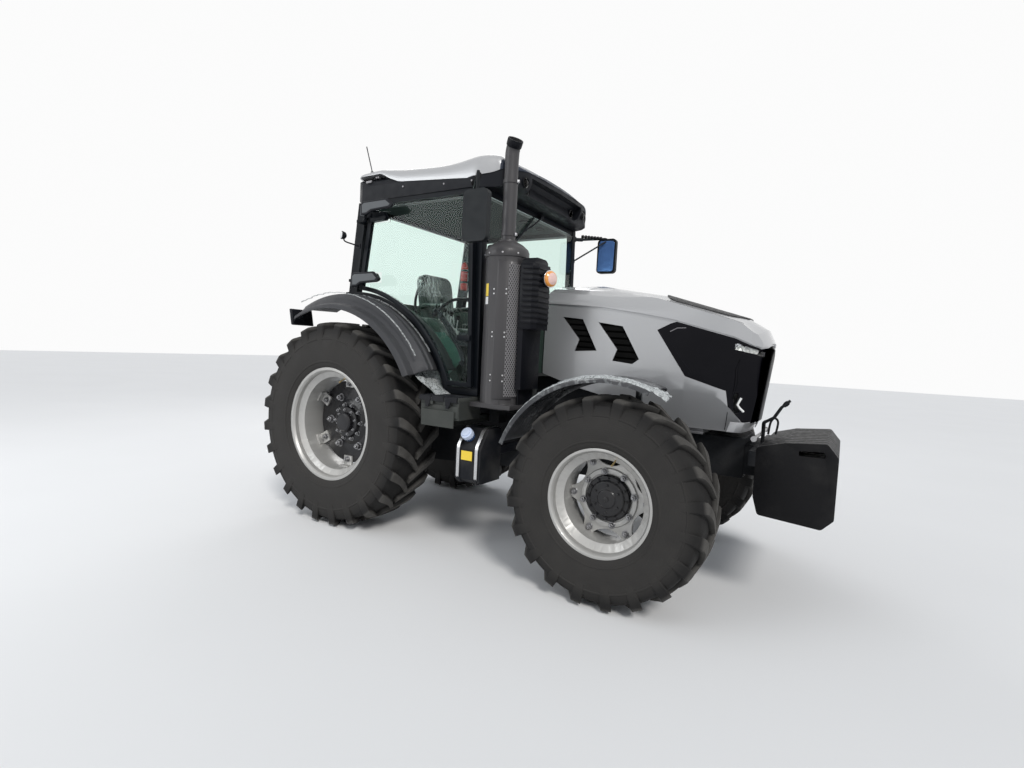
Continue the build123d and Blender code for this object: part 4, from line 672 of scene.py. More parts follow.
# ---------------------------------------------------------------- wheel hardware
def wheel_hardware():
    for side, s in SIDES:
        plate = s * (REAR.y - 0.045 + 0.009)
        nuts = Stock()
        for i in range(6):
            turn = radians(30 + 60 * i)
            nuts.nut(polar(REAR, 0.318, turn, plate + s * 0.016), (0, s, 0), 0.036, 0.026)
            nuts.nut(polar(REAR, 0.225, turn + radians(30), plate), (0, s, 0), 0.046, 0.034)
        for i in range(10):
            nuts.nut(polar(REAR, 0.145, tau * i / 10, plate + s * 0.016), (0, s, 0), 0.027, 0.022)
        for i in range(8):
            nuts.nut(polar(REAR, 0.102, tau * i / 8 + 0.2, s * (REAR.y + 0.010)), (0, s, 0), 0.017, 0.010)
        nuts.piece(f"rear_nuts_{side}", f"wheel_rear_{side}", "steel", more["dark_steel"], bevel=0.0008,
                   steps=1)
        face = s * (FRONT.y - 0.030 + 0.009)
        nuts = Stock()
        for i in range(6):
            nuts.nut(polar(FRONT, 0.232, radians(60 * i), face), (0, s, 0), 0.030, 0.022)
        for i in range(8):
            nuts.nut(polar(FRONT, 0.163, tau * i / 8 + 0.2, face + s * 0.013), (0, s, 0), 0.030, 0.026)
        nuts.piece(f"front_nuts_{side}", f"wheel_front_{side}", "steel", more["dark_steel"], bevel=0.0008,
                   steps=1)
        bolts = Stock()
        out = s * (FRONT.y + 0.032)
        for i in range(12):
            turn = tau * i / 12
            bolts.nut(polar(FRONT, 0.124, turn, out - s * 0.020), (0, s, 0), 0.015, 0.010)
            if i % 2:
                bolts.nut(polar(FRONT, 0.082, turn, out - s * 0.008), (0, s, 0), 0.013, 0.008)
        bolts.round([(-0.004, 0.016), (0.006, 0.016), (0.008, 0.010)], (FRONT.x, out, FRONT.z), (0, s, 0),
                    6)
        bolts.piece(f"front_hub_bolts_{side}", f"wheel_front_{side}", "hub_black", None, bevel=0.0006,
                    steps=1)
        for place, centre, seat in (("rear", REAR, 0.392), ("front", FRONT, 0.275)):
            lo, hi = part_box(f"rim_{place}_{side}")
            edge = hi.y if s > 0 else -lo.y
            valve = Stock()
            foot = polar(centre, seat - 0.004, radians(75), s * (edge - 0.085))
            tip = polar(centre, seat - 0.040, radians(75), s * (edge - 0.030))
            valve.round([(0, 0.008), (0.012, 0.008), (0.014, 0.0045), (0.04, 0.0045), (0.042, 0.006),
                         ((tip - foot).length, 0.006)], foot, tip - foot, 12)
            valve.piece(f"{place}_valve_{side}", f"wheel_{place}_{side}", "steel", more["brass"])


# ---------------------------------------------------------------- exhaust, intake and tank
PIPE_X, PIPE_Y = 0.237, -0.715       # axis of the stack pipe
ELBOW_TURN = radians(-32)            # outward, about that axis
ELBOW_FOOT = 2.790                   # height where the turn begins
PIPE_CLAMP_R = 0.054
CAN_NECK, CAN_TALL = 0.062, 1.065    # cone above the can's straight wall, and the wall


def turn_mouth(p):
    """The elbow above the stack pipe turns outward from the hood."""
    axis = Vector((PIPE_X, PIPE_Y, 0))
    share = limited((p.z - ELBOW_FOOT) / 0.012)
    return axis + Matrix.Rotation(ELBOW_TURN * share, 3, "Z") @ (p - axis)


def stack_details():
    softened("exhaust_pipe", 0.0015, change=turn_mouth, angle=40)
    aim = Matrix.Rotation(ELBOW_TURN, 3, "Z") @ Vector((0.5878, 0, 0.8090))
    mouth = turn_mouth(Vector((PIPE_X + 0.0445, PIPE_Y, 2.9170)))
    lip, throat = Stock(), Stock()
    lip.round([(-0.050, 0.0495), (-0.044, 0.0540), (-0.006, 0.0550), (0.001, 0.0530), (0.001, 0.0480),
               (-0.030, 0.0450)], mouth, aim, 40)
    lip.piece("pipe_lip", "chassis", "exhaust_black", more["intake_dark"], crease=50)
    # painted shade: a near-black cone a little way down the mouth stands in for the dark inside the pipe
    throat.round([(-0.012, 0.0455), (-0.016, 0.0294), (-0.018, 0.0)], mouth, aim, 40)
    throat.piece("pipe_throat", "chassis", "exhaust_black", more["dark_hole"])
    pipe_lo, pipe_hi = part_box("exhaust_pipe")
    _, can_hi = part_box("exhaust_can")
    x, y = pipe_lo.x + PIPE_CLAMP_R, (pipe_lo.y + pipe_hi.y) / 2
    top = can_hi.z - CAN_NECK
    foot = top - CAN_TALL
    guard = perforated("guard_plate", (0.17, 0.165, 0.17), (x, y, 0), 0.017)
    strip = Stock()
    turns = [radians(-52 + 40 * i / 14) for i in range(15)]
    strip.rows([[Vector((x + r * cos(a), y + r * sin(a), z)) for r, z in
                 ((0.1562, foot + 0.055), (0.1562, top - 0.115), (0.1575, top - 0.115),
                  (0.1575, foot + 0.055))]
                for a in turns])
    strip.piece("guard_strip", "chassis", "exhaust_black", guard, crease=50)
    screws = Stock()
    for z in (foot + 0.16, foot + 0.20, foot + 0.46, foot + 0.49, foot + 0.75, foot + 0.78, top - 0.04):
        for turn in (-90, -56, -10) if z < top - 0.1 else (-150, -110, -70, -30):
            a = radians(turn)
            r = 0.1455 if turn < -80 and z < top - 0.1 else 0.1565 if z < top - 0.1 else 0.153
            screws.round([(-0.002, 0.006), (0.003, 0.006), (0.005, 0.003)],
                         (x + r * cos(a), y + r * sin(a), z), (cos(a), sin(a), 0), 10)
    screws.piece("can_screws", "chassis", "steel")
    seam = Stock()
    for a in (radians(-62), radians(100)):
        at = Vector((x + 0.146 * cos(a), y + 0.146 * sin(a), foot))
        seam.tube([at, at + Vector((0, 0, top - foot - 0.065))], 0.0025, 8)
    seam.piece("can_seams", "chassis", "exhaust_black")
    for name, look, low, high in (("can_label_upper", "yellow_label", top - 0.33, top - 0.245),
                                  ("can_label_lower", "white_label", top - 0.385, top - 0.335)):
        label = Stock()
        arc = [radians(-124 + 13 * i / 4) for i in range(5)]
        label.rows([[Vector((x + r * cos(a), y + r * sin(a), z)) for r, z in
                     ((0.1462, low), (0.1462, high), (0.1468, high), (0.1468, low))] for a in arc])
        label.piece(name, "chassis", "exhaust_black", more[look], crease=60)
    clamps = Stock()
    for z in (pipe_lo.z + 0.042, 2.630 + 0.012):
        clamps.tube([(x + 0.055, y - 0.008, z), (x + 0.055, y + 0.012, z)], 0.006, 8)
        clamps.block((x + 0.046, y - 0.007, z - 0.010), (x + 0.066, y - 0.003, z + 0.010))
        clamps.block((x + 0.046, y + 0.005, z - 0.010), (x + 0.066, y + 0.009, z + 0.010))
    clamps.piece("pipe_clamp_bolts", "chassis", "steel", None, bevel=0.001)
    _, box_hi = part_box("intake_box")
    lamp = Stock()
    at = Vector((box_hi.x + 0.030, -0.690, box_hi.z - 0.134))
    aim = Vector((0.95, -0.30, 0.0)).normalized()
    lamp.round([(-0.085, 0.012), (-0.080, 0.026), (-0.050, 0.046), (-0.010, 0.056), (0.0, 0.058),
                (0.010, 0.058),
                (0.010, 0.050)], at, aim, 36)
    lamp.piece("marker_lamp_body", "chassis", "steel", more["chrome"], bevel=0.001)
    stem = Stock()
    stem.tube([at - aim * 0.075, at - aim * 0.10 + Vector((0, 0.01, -0.02)),
               at - aim * 0.11 + Vector((0, 0.02, -0.06))], 0.009)
    stem.piece("marker_lamp_stem", "chassis", "trim_black")
    lens = Stock()
    lens.round([(0.008, 0.0), (0.008, 0.052), (0.020, 0.050), (0.030, 0.038), (0.036, 0.018), (0.037, 0.0)],
               at, aim, 36)
    lens.piece("marker_lamp_lens", "chassis", "lamp_lens", more["pink_lens"])
    sector = Stock()
    sector.round([(0.0085, 0.053), (0.0205, 0.0512), (0.0285, 0.041)], at, aim, 36)
    sector.piece("marker_lamp_ring", "chassis", "lamp_lens", more["amber"])
    tank_lo, tank_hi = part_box("additive_tank")
    out = tank_lo.y - 0.0008
    label = Stock()
    mid = (tank_lo.x + tank_hi.x) / 2
    label.block((mid - 0.052, out, tank_hi.z - 0.225), (mid + 0.040, out + 0.004, tank_hi.z - 0.160))
    label.piece("tank_label", "chassis", "trim_black", more["yellow_label"], bevel=0.0005)
    lean = Vector((0, -0.8, 0.6))
    foot = middle("tank_cap") - lean * 0.022
    ribs = Stock()
    for i in range(18):
        a = tau * i / 18
        out = Vector((cos(a), 0.6 * sin(a), 0.8 * sin(a)))
        ribs.tube([foot + out * 0.0415, foot + out * 0.0415 + lean * 0.030], 0.0022, 6)
    ribs.piece("tank_cap_ribs", "chassis", "cap_blue", None)
    collar = Stock()
    collar.round([(-0.050, 0.036), (-0.036, 0.040), (-0.026, 0.040), (-0.022, 0.036)],
                 middle("tank_cap") + lean * 0.002, lean, 28)
    collar.piece("tank_neck_collar", "chassis", "cap_blue", more["blue_ring"], bevel=0.001)


# ---------------------------------------------------------------- hood
HOOD_TOP = ((0.375, 2.012), (0.675, 2.007), (1.195, 1.927), (1.745, 1.767), (1.855, 1.700), (1.915, 1.570))
CROWN_DROP = 0.040                   # fall of the hood's top from its middle line to its sides
NOSE_ROUND = 0.042                   # how far the nose's corners stand back in plan


def hood_crown(p):
    """The hood's top falls away to both sides of its middle line, and its nose is rounded in plan."""
    near = limited((p.z - (between(HOOD_TOP, p.x) - 0.17)) / 0.10)
    out = limited((abs(p.y) - 0.05) / 0.25)
    start = limited((p.x - 0.42) / 0.5)
    nose = limited((p.x - 1.70) / 0.16) * min(1.0, (p.y / 0.30) ** 2)
    return p - Vector((NOSE_ROUND * nose, 0, CROWN_DROP * near * start * out * out * (3 - 2 * out)))


def limited(t):
    return min(1.0, max(0.0, t))


def between(table, t):
    """Value at t on straight runs between the table's rows (t, value)."""
    for (t0, v0), (t1, v1) in zip(table, table[1:]):
        if t <= t1:
            return v0 + (v1 - v0) * limited((t - t0) / (t1 - t0))
    return table[-1][1]


def outside(*nodes):
    """A finder of points on the outside of these nodes: (x, z, side, clearance) to a point."""
    points, faces = [], []
    for node in nodes:
        mesh = frame["nodes"][node].data
        start = len(points)
        points += [v.co.copy() for v in mesh.vertices]
        faces += [[start + i for i in poly.vertices] for poly in mesh.polygons]
    tree = BVHTree.FromPolygons(points, faces)

    def find(x, z, side, clear=0.0):
        hit = tree.ray_cast(Vector((x, side * 2.0, z)), Vector((0, -side, 0)))[0]
        return None if hit is None else Vector((x, hit.y + side * clear, z))
    return find


def hood_details():
    cuts = [((x, 0, 0), (1, 0, 0)) for x in (0.55, 0.70, 0.85, 1.0, 1.1, 1.3, 1.4, 1.5, 1.6, 1.7, 1.8)]
    cuts += [((0, s * y, 0), (0, 1, 0)) for y in (0.05, 0.10, 0.15, 0.20, 0.25, 0.30) for s in (-1, 1)]
    for node, width in (("hood_shell", 0.005), ("hood_mask", 0.004), ("hood_grille", 0.002),
                        ("headlamps", 0.0008)):
        softened(node, width, cuts=cuts, change=hood_crown)
    softened("vent_grilles", 0.001, more["dark_hole"])
    frame_lo, frame_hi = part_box("hood_grille")
    strip, rows = Stock(), []
    for i in range(13):
        x = frame_lo.x - 0.02 + (frame_hi.x - frame_lo.x + 0.03) * i / 12
        half = between(((0, 0.10), (0.12, 0.205), (0.8, 0.17), (1, 0.09)), i / 12)
        top = []
        for k in range(13):
            y = half * (k / 6 - 1)
            z = between(((1.195, 1.927), (1.745, 1.767), (1.855, 1.700)), x)
            top.append(hood_crown(Vector((x, y, z))) + Vector((0, 0, 0.004 if abs(k - 6) > 5 else 0.007)))
        rows.append(top + [p - Vector((0, 0, 0.012)) for p in reversed(top)])
    strip.rows(rows)
    strip.piece("hood_air_strip", "hood", "trim_black", more["mesh"], crease=50)
    find = outside("hood_shell", "hood_mask", "headlamps")
    for side, s in SIDES:
        # painted shade: a near-black block inside the hood, behind each side's vents
        shadow_block = Stock()
        shadow_block.block((0.46, min(s * 0.318, s * 0.322), 1.385), (1.17, max(s * 0.318, s * 0.322), 1.80))
        shadow_block.piece(f"vent_shade_block_{side}", "hood", "trim_black", more["dark_hole"], bevel=0.001)
        strips = Stock()
        corner = [find(x, z, s, 0.0015) for x,
                  z in ((1.757, 1.262), (1.747, 1.240), (1.738, 1.218), (1.752, 1.197), (1.775, 1.176))]
        if all(corner):
            strips.tube(corner, 0.0075, 10)
            strips.piece(f"light_strip_{side}", "hood", "lamp_lens", more["daylight_strip"])
        line = Stock()
        path = [find(x, z, s, 0.0005) for x, z in ((1.300, 1.662), (1.345, 1.686), (1.400, 1.688))]
        low = [find(x, z, s, 0.0002) for x, z in ((1.310, 1.590), (1.380, 1.490), (1.452, 1.405))]
        if all(path) and all(low):
            line.tube(path, 0.0032, 8)
            line.piece(f"window_line_{side}", "hood", "mask_black", more["window_line"])
            faint = Stock()
            faint.tube(low, 0.0018, 8)
            faint.piece(f"window_edge_{side}", "hood", "mask_black", more["intake_dark"])
        seam = Stock()
        path = [find(x, z, s, 0.0) for x, z in ((1.690, 1.215), (1.683, 1.16), (1.676, 1.10),
                                                (1.668, 1.05))]
        if all(path):
            seam.tube(path, 0.0022, 6)
            seam.piece(f"chin_seam_{side}", "hood", "trim_black", more["dark_hole"])
        ridge = Stock()
        path = [find(x, z, s, 0.001) for x, z in ((1.735, 1.50), (1.720, 1.44), (1.722, 1.36),
                                                  (1.715, 1.30), (1.700, 1.24))]
        if all(path):
            ridge.tube(path, [0.002, 0.006, 0.008, 0.006, 0.002], 10)
            ridge.piece(f"mask_ridge_{side}", "hood", "mask_black")
        lamp_inside(side, s)
        chin = Stock()
        plan = [(1.712, 0.366), (1.755, 0.362), (1.790, 0.338), (1.808, 0.285), (1.819, 0.21),
                (1.825, 0.13), (1.827, 0.065)]
        rows = []
        for x, y in plan:
            lean = 0.35 * (1.110 - 1.047)
            rows.append([Vector((x - lean, s * y, 1.047)), Vector((x, s * y, 1.112)),
                         Vector((x - 0.007, s * (y - 0.006), 1.112)),
                         Vector((x - lean - 0.007, s * (y - 0.006), 1.047))])
        chin.rows(rows)
        chin.piece(f"chin_{side}", "hood", "hood_silver", None, crease=40, bevel=0.0015)


def lamp_inside(side, s):
    """Bright bowls and their frame behind a headlamp's lens."""
    outer = [(1.709, 0.316), (1.767, 0.290), (1.812, 0.252), (1.846, 0.205)]
    shelf = Stock()
    inner = [(x - 0.045, y - 0.035) for x, y in outer]
    loop = [Vector((x, s * y, 0)) for x, y in outer + inner[::-1]]
    for z in (1.522, 1.596):
        shelf.slab([p + Vector((0, 0, z)) for p in loop], (0, 0, 0.003))
    back = Stock()
    loop = [Vector((x - 0.028, s * (y - 0.024), 1.52)) for x, y in outer] + \
           [Vector((x - 0.034, s * (y - 0.030), 1.52)) for x, y in outer[::-1]]
    back.slab(loop, (0, 0, 0.082))
    back.piece(f"headlamp_back_{side}", "hood", "trim_black", more["reflector"])
    shelf.piece(f"headlamp_frame_{side}", "hood", "trim_black", more["chrome"])
    bowls, eyes = Stock(), Stock()
    for x, y, nx, ny in ((1.729, 0.297, 0.35, 0.94), (1.768, 0.277, 0.5, 0.87), (1.803, 0.246, 0.75, 0.66)):
        at, aim = Vector((x, s * y, 1.560)), Vector((nx, s * ny, 0)).normalized()
        bowls.round([(-0.020, 0.008), (-0.014, 0.018), (-0.004, 0.024), (0.002, 0.026), (0.002, 0.028),
                     (-0.008, 0.028),
                     (-0.024, 0.012)], at, aim, 28)
        eyes.round([(-0.020, 0.012), (-0.010, 0.012), (-0.003, 0.007), (-0.001, 0.0)], at, aim, 20)
    bowls.piece(f"headlamp_bowls_{side}", "hood", "steel", more["white_label"])
    eyes.piece(f"headlamp_eyes_{side}", "hood", "lamp_lens", more["daylight_strip"])


# ---------------------------------------------------------------- roof
TAIL_START, TAIL_TOP, TAIL_RISE = -1.140, 2.745, 0.062
ANTENNA_SHIFT = -0.735               # from the middle line to the right rear corner


def round_tail(p):
    """The roof base's lower rear edge curves up to the tail."""
    t = limited((TAIL_START - p.x) / 0.145)
    low = limited((TAIL_TOP - p.z) / 0.12)
    return p + Vector((0, 0, TAIL_RISE * t * t * low))


def roof_details():
    softened("roof_base", 0.012, steps=3, change=round_tail,
             cuts=[((x, 0, 0), (1, 0, 0)) for x in (TAIL_START, -1.175, -1.205, -1.235, -1.260)]
             + [((0, 0, TAIL_TOP), (0, 0, 1))])
    softened("antenna", 0.0004, change=lambda p: p + Vector((0, ANTENNA_SHIFT, 0)))
    low_edge = ((-1.285, 2.838), (-1.205, 2.829), (-0.935, 2.829), (-0.845, 2.782), (-0.745, 2.746),
                (-0.085, 2.694),
                (0.085, 2.724), (0.255, 2.784))
    half = ((-1.285, 0.50), (-1.279, 0.56), (-1.262, 0.64), (-1.225, 0.725), (-1.190, 0.758),
            (-1.145, 0.775),
            (-0.6, 0.780), (-0.035, 0.780), (0.05, 0.755), (0.12, 0.722), (0.165, 0.698), (0.21, 0.585),
            (0.240, 0.468),
            (0.252, 0.30))
    middle_line = ((-1.285, 2.841), (-1.24, 2.846), (-0.95, 2.848), (-0.5, 2.850), (-0.25, 2.852),
                   (-0.10, 2.862),
                   (0.02, 2.880), (0.10, 2.878), (0.16, 2.862), (0.22, 2.832), (0.252, 2.800))
    shoulder = ((-1.285, 2.840), (-1.22, 2.848), (-1.05, 2.862), (-0.90, 2.862), (-0.70, 2.842),
                (-0.35, 2.822),
                (-0.20, 2.828), (-0.05, 2.850), (0.06, 2.858), (0.12, 2.850), (0.18, 2.820), (0.252, 2.790))
    for name, x0, x1, drop, look in (("roof_cover", -1.285, 0.165, 0.0, finishes["hood_silver"]),
                                     ("roof_visor", 0.120, 0.252, 0.012, more["visor_slate"])):
        rows, count = [], 46
        for i in range(count + 1):
            u = i / count
            x = x0 + (x1 - x0) * (u - 0.045 * sin(2 * pi * u) * (1 if drop == 0 else 0.4))
            w, e = eased(half, x), between(low_edge, x) - 0.002
            s, c = eased(shoulder, x) - drop, eased(middle_line, x) - drop
            end = min((x - x0) / 0.02, (x1 - x) / 0.035, 1.0)
            round_end = sqrt(max(0.0, 1 - (1 - end) ** 2)) if end < 1 else 1.0
            s, c = e + (s - e) * (0.25 + 0.75 * round_end), e + (c - e) * (0.35 + 0.65 * round_end)
            side = [(1.0, e), (1.0, e + 0.30 * (s - e)), (0.996, e + 0.55 * (s - e)),
                    (0.983, e + 0.80 * (s - e)),
                    (0.960, e + 0.93 * (s - e)), (0.925, e + 1.00 * (s - e)), (0.85, s + 0.003),
                    (0.74, s + 0.30 * (c - s)),
                    (0.60, s + 0.55 * (c - s)), (0.44, s + 0.80 * (c - s)), (0.22, s + 0.96 * (c - s))]
            loop = [(t * w, z) for t, z in side] + [(0.0, c)] + [(-t * w, z) for t, z in reversed(side)]
            rows.append([Vector((x, y, z)) for y, z in loop])
        cover = Stock()
        cover.rows(rows)
        made = cover.piece(name, "chassis", "hood_silver" if drop == 0 else "trim_black", look, crease=60)
        if drop == 0:
            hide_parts("roof_skin")
    bowls, rims = Stock(), Stock()
    for x, y, z in ((0.228, 0.50, 2.70), (0.193, 0.59, 2.70), (0.167, 0.38, 2.685)):
        for s in (1, -1):
            at = Vector((x, s * y, z))
            bowls.round([(-0.0135, 0.006), (-0.0125, 0.018), (-0.008, 0.028), (-0.002, 0.0325),
                         (-0.002, 0.0335),
                         (-0.0138, 0.0335)], at, (1, 0, 0), 32)
            rims.round([(-0.004, 0.0345), (0.006, 0.0345), (0.007, 0.037), (0.006, 0.0415),
                        (-0.004, 0.0415)], at,
                       (1, 0, 0), 32)
    bowls.piece("work_lamp_bowls", "chassis", "steel", more["white_label"])
    rims.piece("work_lamp_rims", "chassis", "trim_black", more["seal"])
    for side, s in SIDES:
        lamp = Stock()
        lamp.slab([(-1.100, s * 0.774, 2.768), (-1.040, s * 0.779, 2.768), (-1.032, s * 0.779, 2.786),
                   (-1.108, s * 0.773, 2.786)], (0, s * 0.005, 0))
        lamp.piece(f"roof_side_lens_{side}", "chassis", "lamp_lens", more["window_line"], bevel=0.002)
        screws = Stock()
        for x, z in ((-0.985, 2.800), (-0.965, 2.800), (-0.70, 2.70), (-0.30, 2.675), (-0.05, 2.67)):
            screws.round([(-0.003, 0.007), (0.003, 0.007), (0.004, 0.005)], (x, s * 0.780, z), (0, s, 0),
                         14)
        screws.piece(f"roof_screws_{side}", "chassis", "steel", more["window_line"])
        rear = Stock()
        rear.round([(-0.010, 0.048), (0.004, 0.048), (0.010, 0.044), (0.010, 0.038), (0.002, 0.036),
                    (0.0, 0.0)],
                   (-1.290, s * 0.60, 2.735), (-1, 0, 0), 32)
        rear.piece(f"rear_work_lamp_{side}", "chassis", "trim_black", None, bevel=0.001)
        bowl = Stock()
        bowl.round([(0.001, 0.036), (0.003, 0.030), (0.002, 0.012), (0.006, 0.010), (0.007, 0.0)],
                   (-1.290, s * 0.60, 2.735), (-1, 0, 0), 32)
        bowl.piece(f"rear_work_bowl_{side}", "chassis", "steel", more["reflector"])
        rear_light(side, s)
    wiper()
    panel = Stock()
    panel.slab([(-1.20, -0.66, 2.600), (-0.02, -0.66, 2.600), (-0.02, 0.66, 2.600), (-1.20, 0.66, 2.600)],
               (0, 0, 0.024))
    panel.piece("headliner", "chassis", "seat_fabric", more["lining"], bevel=0.010, steps=3)
    vents = Stock()
    for y in (-0.42, -0.14, 0.14, 0.42):
        vents.round([(0, 0.042), (0.010, 0.040), (0.014, 0.034), (0.008, 0.030), (0.006, 0.0)],
                    (-0.16, y, 2.600),
                    (0, 0, -1), 24)
    vents.piece("air_outlets", "chassis", "trim_black", None, bevel=0.001)


def eased(table, t):
    """Value at t on a smooth line through the table's rows (t, value)."""
    last = len(table) - 2
    for i, ((t0, v0), (t1, v1)) in enumerate(zip(table, table[1:])):
        if t <= t1 or i == last:
            before, after = table[max(i - 1, 0)], table[min(i + 2, last + 1)]
            m0, m1 = (v1 - before[1]) / (t1 - before[0]), (after[1] - v0) / (after[0] - t0)
            h = t1 - t0
            u = limited((t - t0) / h)
            return ((2 * u**3 - 3 * u**2 + 1) * v0 + (u**3 - 2 * u**2 + u) * h * m0
                    + (-2 * u**3 + 3 * u**2) * v1 + (u**3 - u**2) * h * m1)


def rear_light(side, s):
    """Round lamp on a stalk at the rear pillar."""
    foot, head = Vector((-1.100, s * 0.838, 2.258)), Vector((-1.190, s * 0.915, 2.335))
    stalk = Stock()
    stalk.tube(arc_path([foot, foot + Vector((-0.02, s * 0.035, 0.01)), head - Vector((-0.015, 0, 0.045)),
                         head]), 0.006)
    stalk.block((foot.x - 0.02, min(foot.y - 0.004, foot.y + 0.008), foot.z - 0.02),
                (foot.x + 0.02, max(foot.y - 0.004, foot.y + 0.008), foot.z + 0.02))
    stalk.piece(f"rear_lamp_stalk_{side}", "chassis", "trim_black", None, bevel=0.002)
    aim = Vector((-0.45, s * 0.89, 0.05)).normalized()
    shell, lens = Stock(), Stock()
    shell.round([(-0.022, 0.012), (-0.012, 0.026), (0.010, 0.032), (0.018, 0.032), (0.018, 0.028)], head,
                aim, 28)
    lens.round([(0.017, 0.0), (0.017, 0.028), (0.022, 0.024), (0.025, 0.010), (0.0255, 0.0)], head, aim, 28)
    shell.piece(f"rear_lamp_shell_{side}", "chassis", "trim_black", None, bevel=0.001)
    lens.piece(f"rear_lamp_lens_{side}", "chassis", "lamp_lens", more["white_label"])


def wiper():
    """Windscreen wiper: motor boss, sprung arm and blade."""
    pivot, end = Vector((0.062, 0.060, 2.600)), Vector((0.060, -0.200, 2.430))
    parts = Stock()
    parts.round([(-0.012, 0.020), (0.010, 0.020), (0.014, 0.014)], pivot, (1, 0, 0), 20)
    parts.tube(arc_path([pivot + Vector((0.010, 0, 0)), pivot.lerp(end, 0.5) + Vector((0.018, 0, 0)), end]),
               0.0055)
    blade_top, blade_foot = Vector((0.052, -0.05, 2.575)), Vector((0.052, -0.34, 2.300))
    parts.tube([blade_top, blade_foot], 0.0065, 8)
    parts.tube([blade_top.lerp(blade_foot, 0.25) + Vector((0.006, 0, 0)), end,
                blade_top.lerp(blade_foot, 0.75)
                + Vector((0.006, 0, 0))], 0.004, 8)
    parts.piece("wiper", "chassis", "trim_black")


# ---------------------------------------------------------------- doors and mirrors
DOOR_PIN_X, DOOR_PIN_Z, DOOR_PIN_LEAN = -1.125, 1.950, 0.1475


def hinge_x(z):
    """Where the leaning line of the door pins stands at height z."""
    return DOOR_PIN_X + DOOR_PIN_LEAN * (z - DOOR_PIN_Z)


def door_details():
    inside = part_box("door_frame_left")[0].y
    for side, s in SIDES:
        body = f"door_{side}"
        for name, z0, z1, x1 in (("upper", 2.486, 2.592, -0.690), ("lower", 1.930, 2.046, -0.812)):
            x0 = hinge_x(z0) + 0.012
            w, h = x1 - x0, z1 - z0
            outline = [(0.0, 0.0), (0.0, 0.80), (0.06, 0.97), (0.80, 1.0), (1.0, 0.52), (0.93, 0.28),
                       (0.36, 0.22), (0.20, 0.0)]
            cover, face = Stock(), Stock()
            cover.slab([(x0 + u * w, s * 0.874, z0 + v * h) for u, v in outline], (0, s * 0.020, 0))
            inset = [(0.06, 0.14), (0.05, 0.72), (0.11, 0.84), (0.77, 0.86), (0.91, 0.54), (0.86, 0.42),
                     (0.33, 0.34), (0.19, 0.14)]
            face.slab([(x0 + u * w, s * 0.893, z0 + v * h) for u, v in inset], (0, s * 0.0035, 0))
            cover.piece(f"hinge_cover_{name}_{side}", body, "trim_black", None, bevel=0.008, steps=3)
            face.piece(f"hinge_face_{name}_{side}", body, "trim_black", more["hinge_grey"], bevel=0.0025)
            fixed = Stock()
            fixed.slab([(x0 - 0.048, s * 0.841, z0 + 0.10 * h), (x0 - 0.044, s * 0.841, z0 + 0.86 * h),
                        (x0 - 0.004, s * 0.841, z0 + 0.95 * h), (x0 - 0.004, s * 0.841, z0 + 0.02 * h)],
                        (0, s * 0.012, 0))
            fixed.piece(f"hinge_base_{name}_{side}", "chassis", "trim_black", more["hinge_grey"],
                        bevel=0.004, steps=3)
        rail = Stock()
        y = s * (inside - 0.022)
        rail.tube(arc_path([(-0.345, s * (inside + 0.008), 1.762), (-0.325, y, 1.740), (-0.255, y, 1.672),
                            (-0.172, y, 1.585),
                            (-0.105, y, 1.470), (-0.078, y, 1.395), (-0.072, s * (inside + 0.008), 1.372)]),
                            0.015, 14)
        rail.piece(f"door_rail_{side}", body, "trim_black")
        latch = Stock()
        latch.block((-0.125, min(s * (inside - 0.045), s * inside), 1.50),
                    (0.005, max(s * (inside - 0.045), s * inside), 1.60))
        latch.piece(f"door_latch_{side}", body, "trim_black", None, bevel=0.008, steps=3)
        seal = Stock()
        pane_lo, pane_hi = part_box(f"door_glass_{side}")
        seal.tube([(pane_hi.x - 0.006, s * 0.779, pane_lo.z + 0.30),
                   (pane_hi.x - 0.024, s * 0.779, pane_hi.z - 0.012)], 0.006, 8)
        seal.piece(f"door_seal_{side}", body, "trim_black", more["seal"])


def mirror_details():
    """Both mirrors, the left head set a little higher, and their glasses."""
    lift = Vector((0.030, 0, 0.105))

    def raise_left(p):
        return p + lift if p.y > 1.040 and p.x > 0.10 and p.z < 2.56 else p
    softened("mirrors", 0.008, steps=3, change=raise_left)
    for side, s in SIDES:
        move = lift if s > 0 else Vector((0, 0, 0))
        glass = Stock()
        corners = [(0.136, 2.190), (0.132, 2.215), (0.138, 2.462), (0.152, 2.482), (0.280, 2.476),
                   (0.294, 2.455), (0.290, 2.205),
                   (0.276, 2.188)]
        glass.slab([Vector((x, s * 1.0515, z)) + move for x, z in corners], (0, -s * 0.004, 0))
        glass.piece(f"mirror_glass_{side}", "chassis", "mirror_shell", more["mirror_glass"], bevel=0.0015)
        sleeve = Stock()
        for i in range(7):
            x = 0.085 + 0.022 * i
            sleeve.round([(-0.010, 0.016), (0.010, 0.019)], (x - 0.03, s * (0.90 + 0.021 * i), 2.605),
                         (1, s * 0.95, 0), 16)
        sleeve.piece(f"mirror_boot_{side}", "chassis", "mirror_shell", more["seal"], bevel=0.002)


# ---------------------------------------------------------------- seat
NET_SIZE = 0.007                     # mesh of a seat cover
SEAM_HALF = 0.005                    # half the width of a pinned seam
COVER_PRESSURE, COVER_STEPS = 4.0, 20


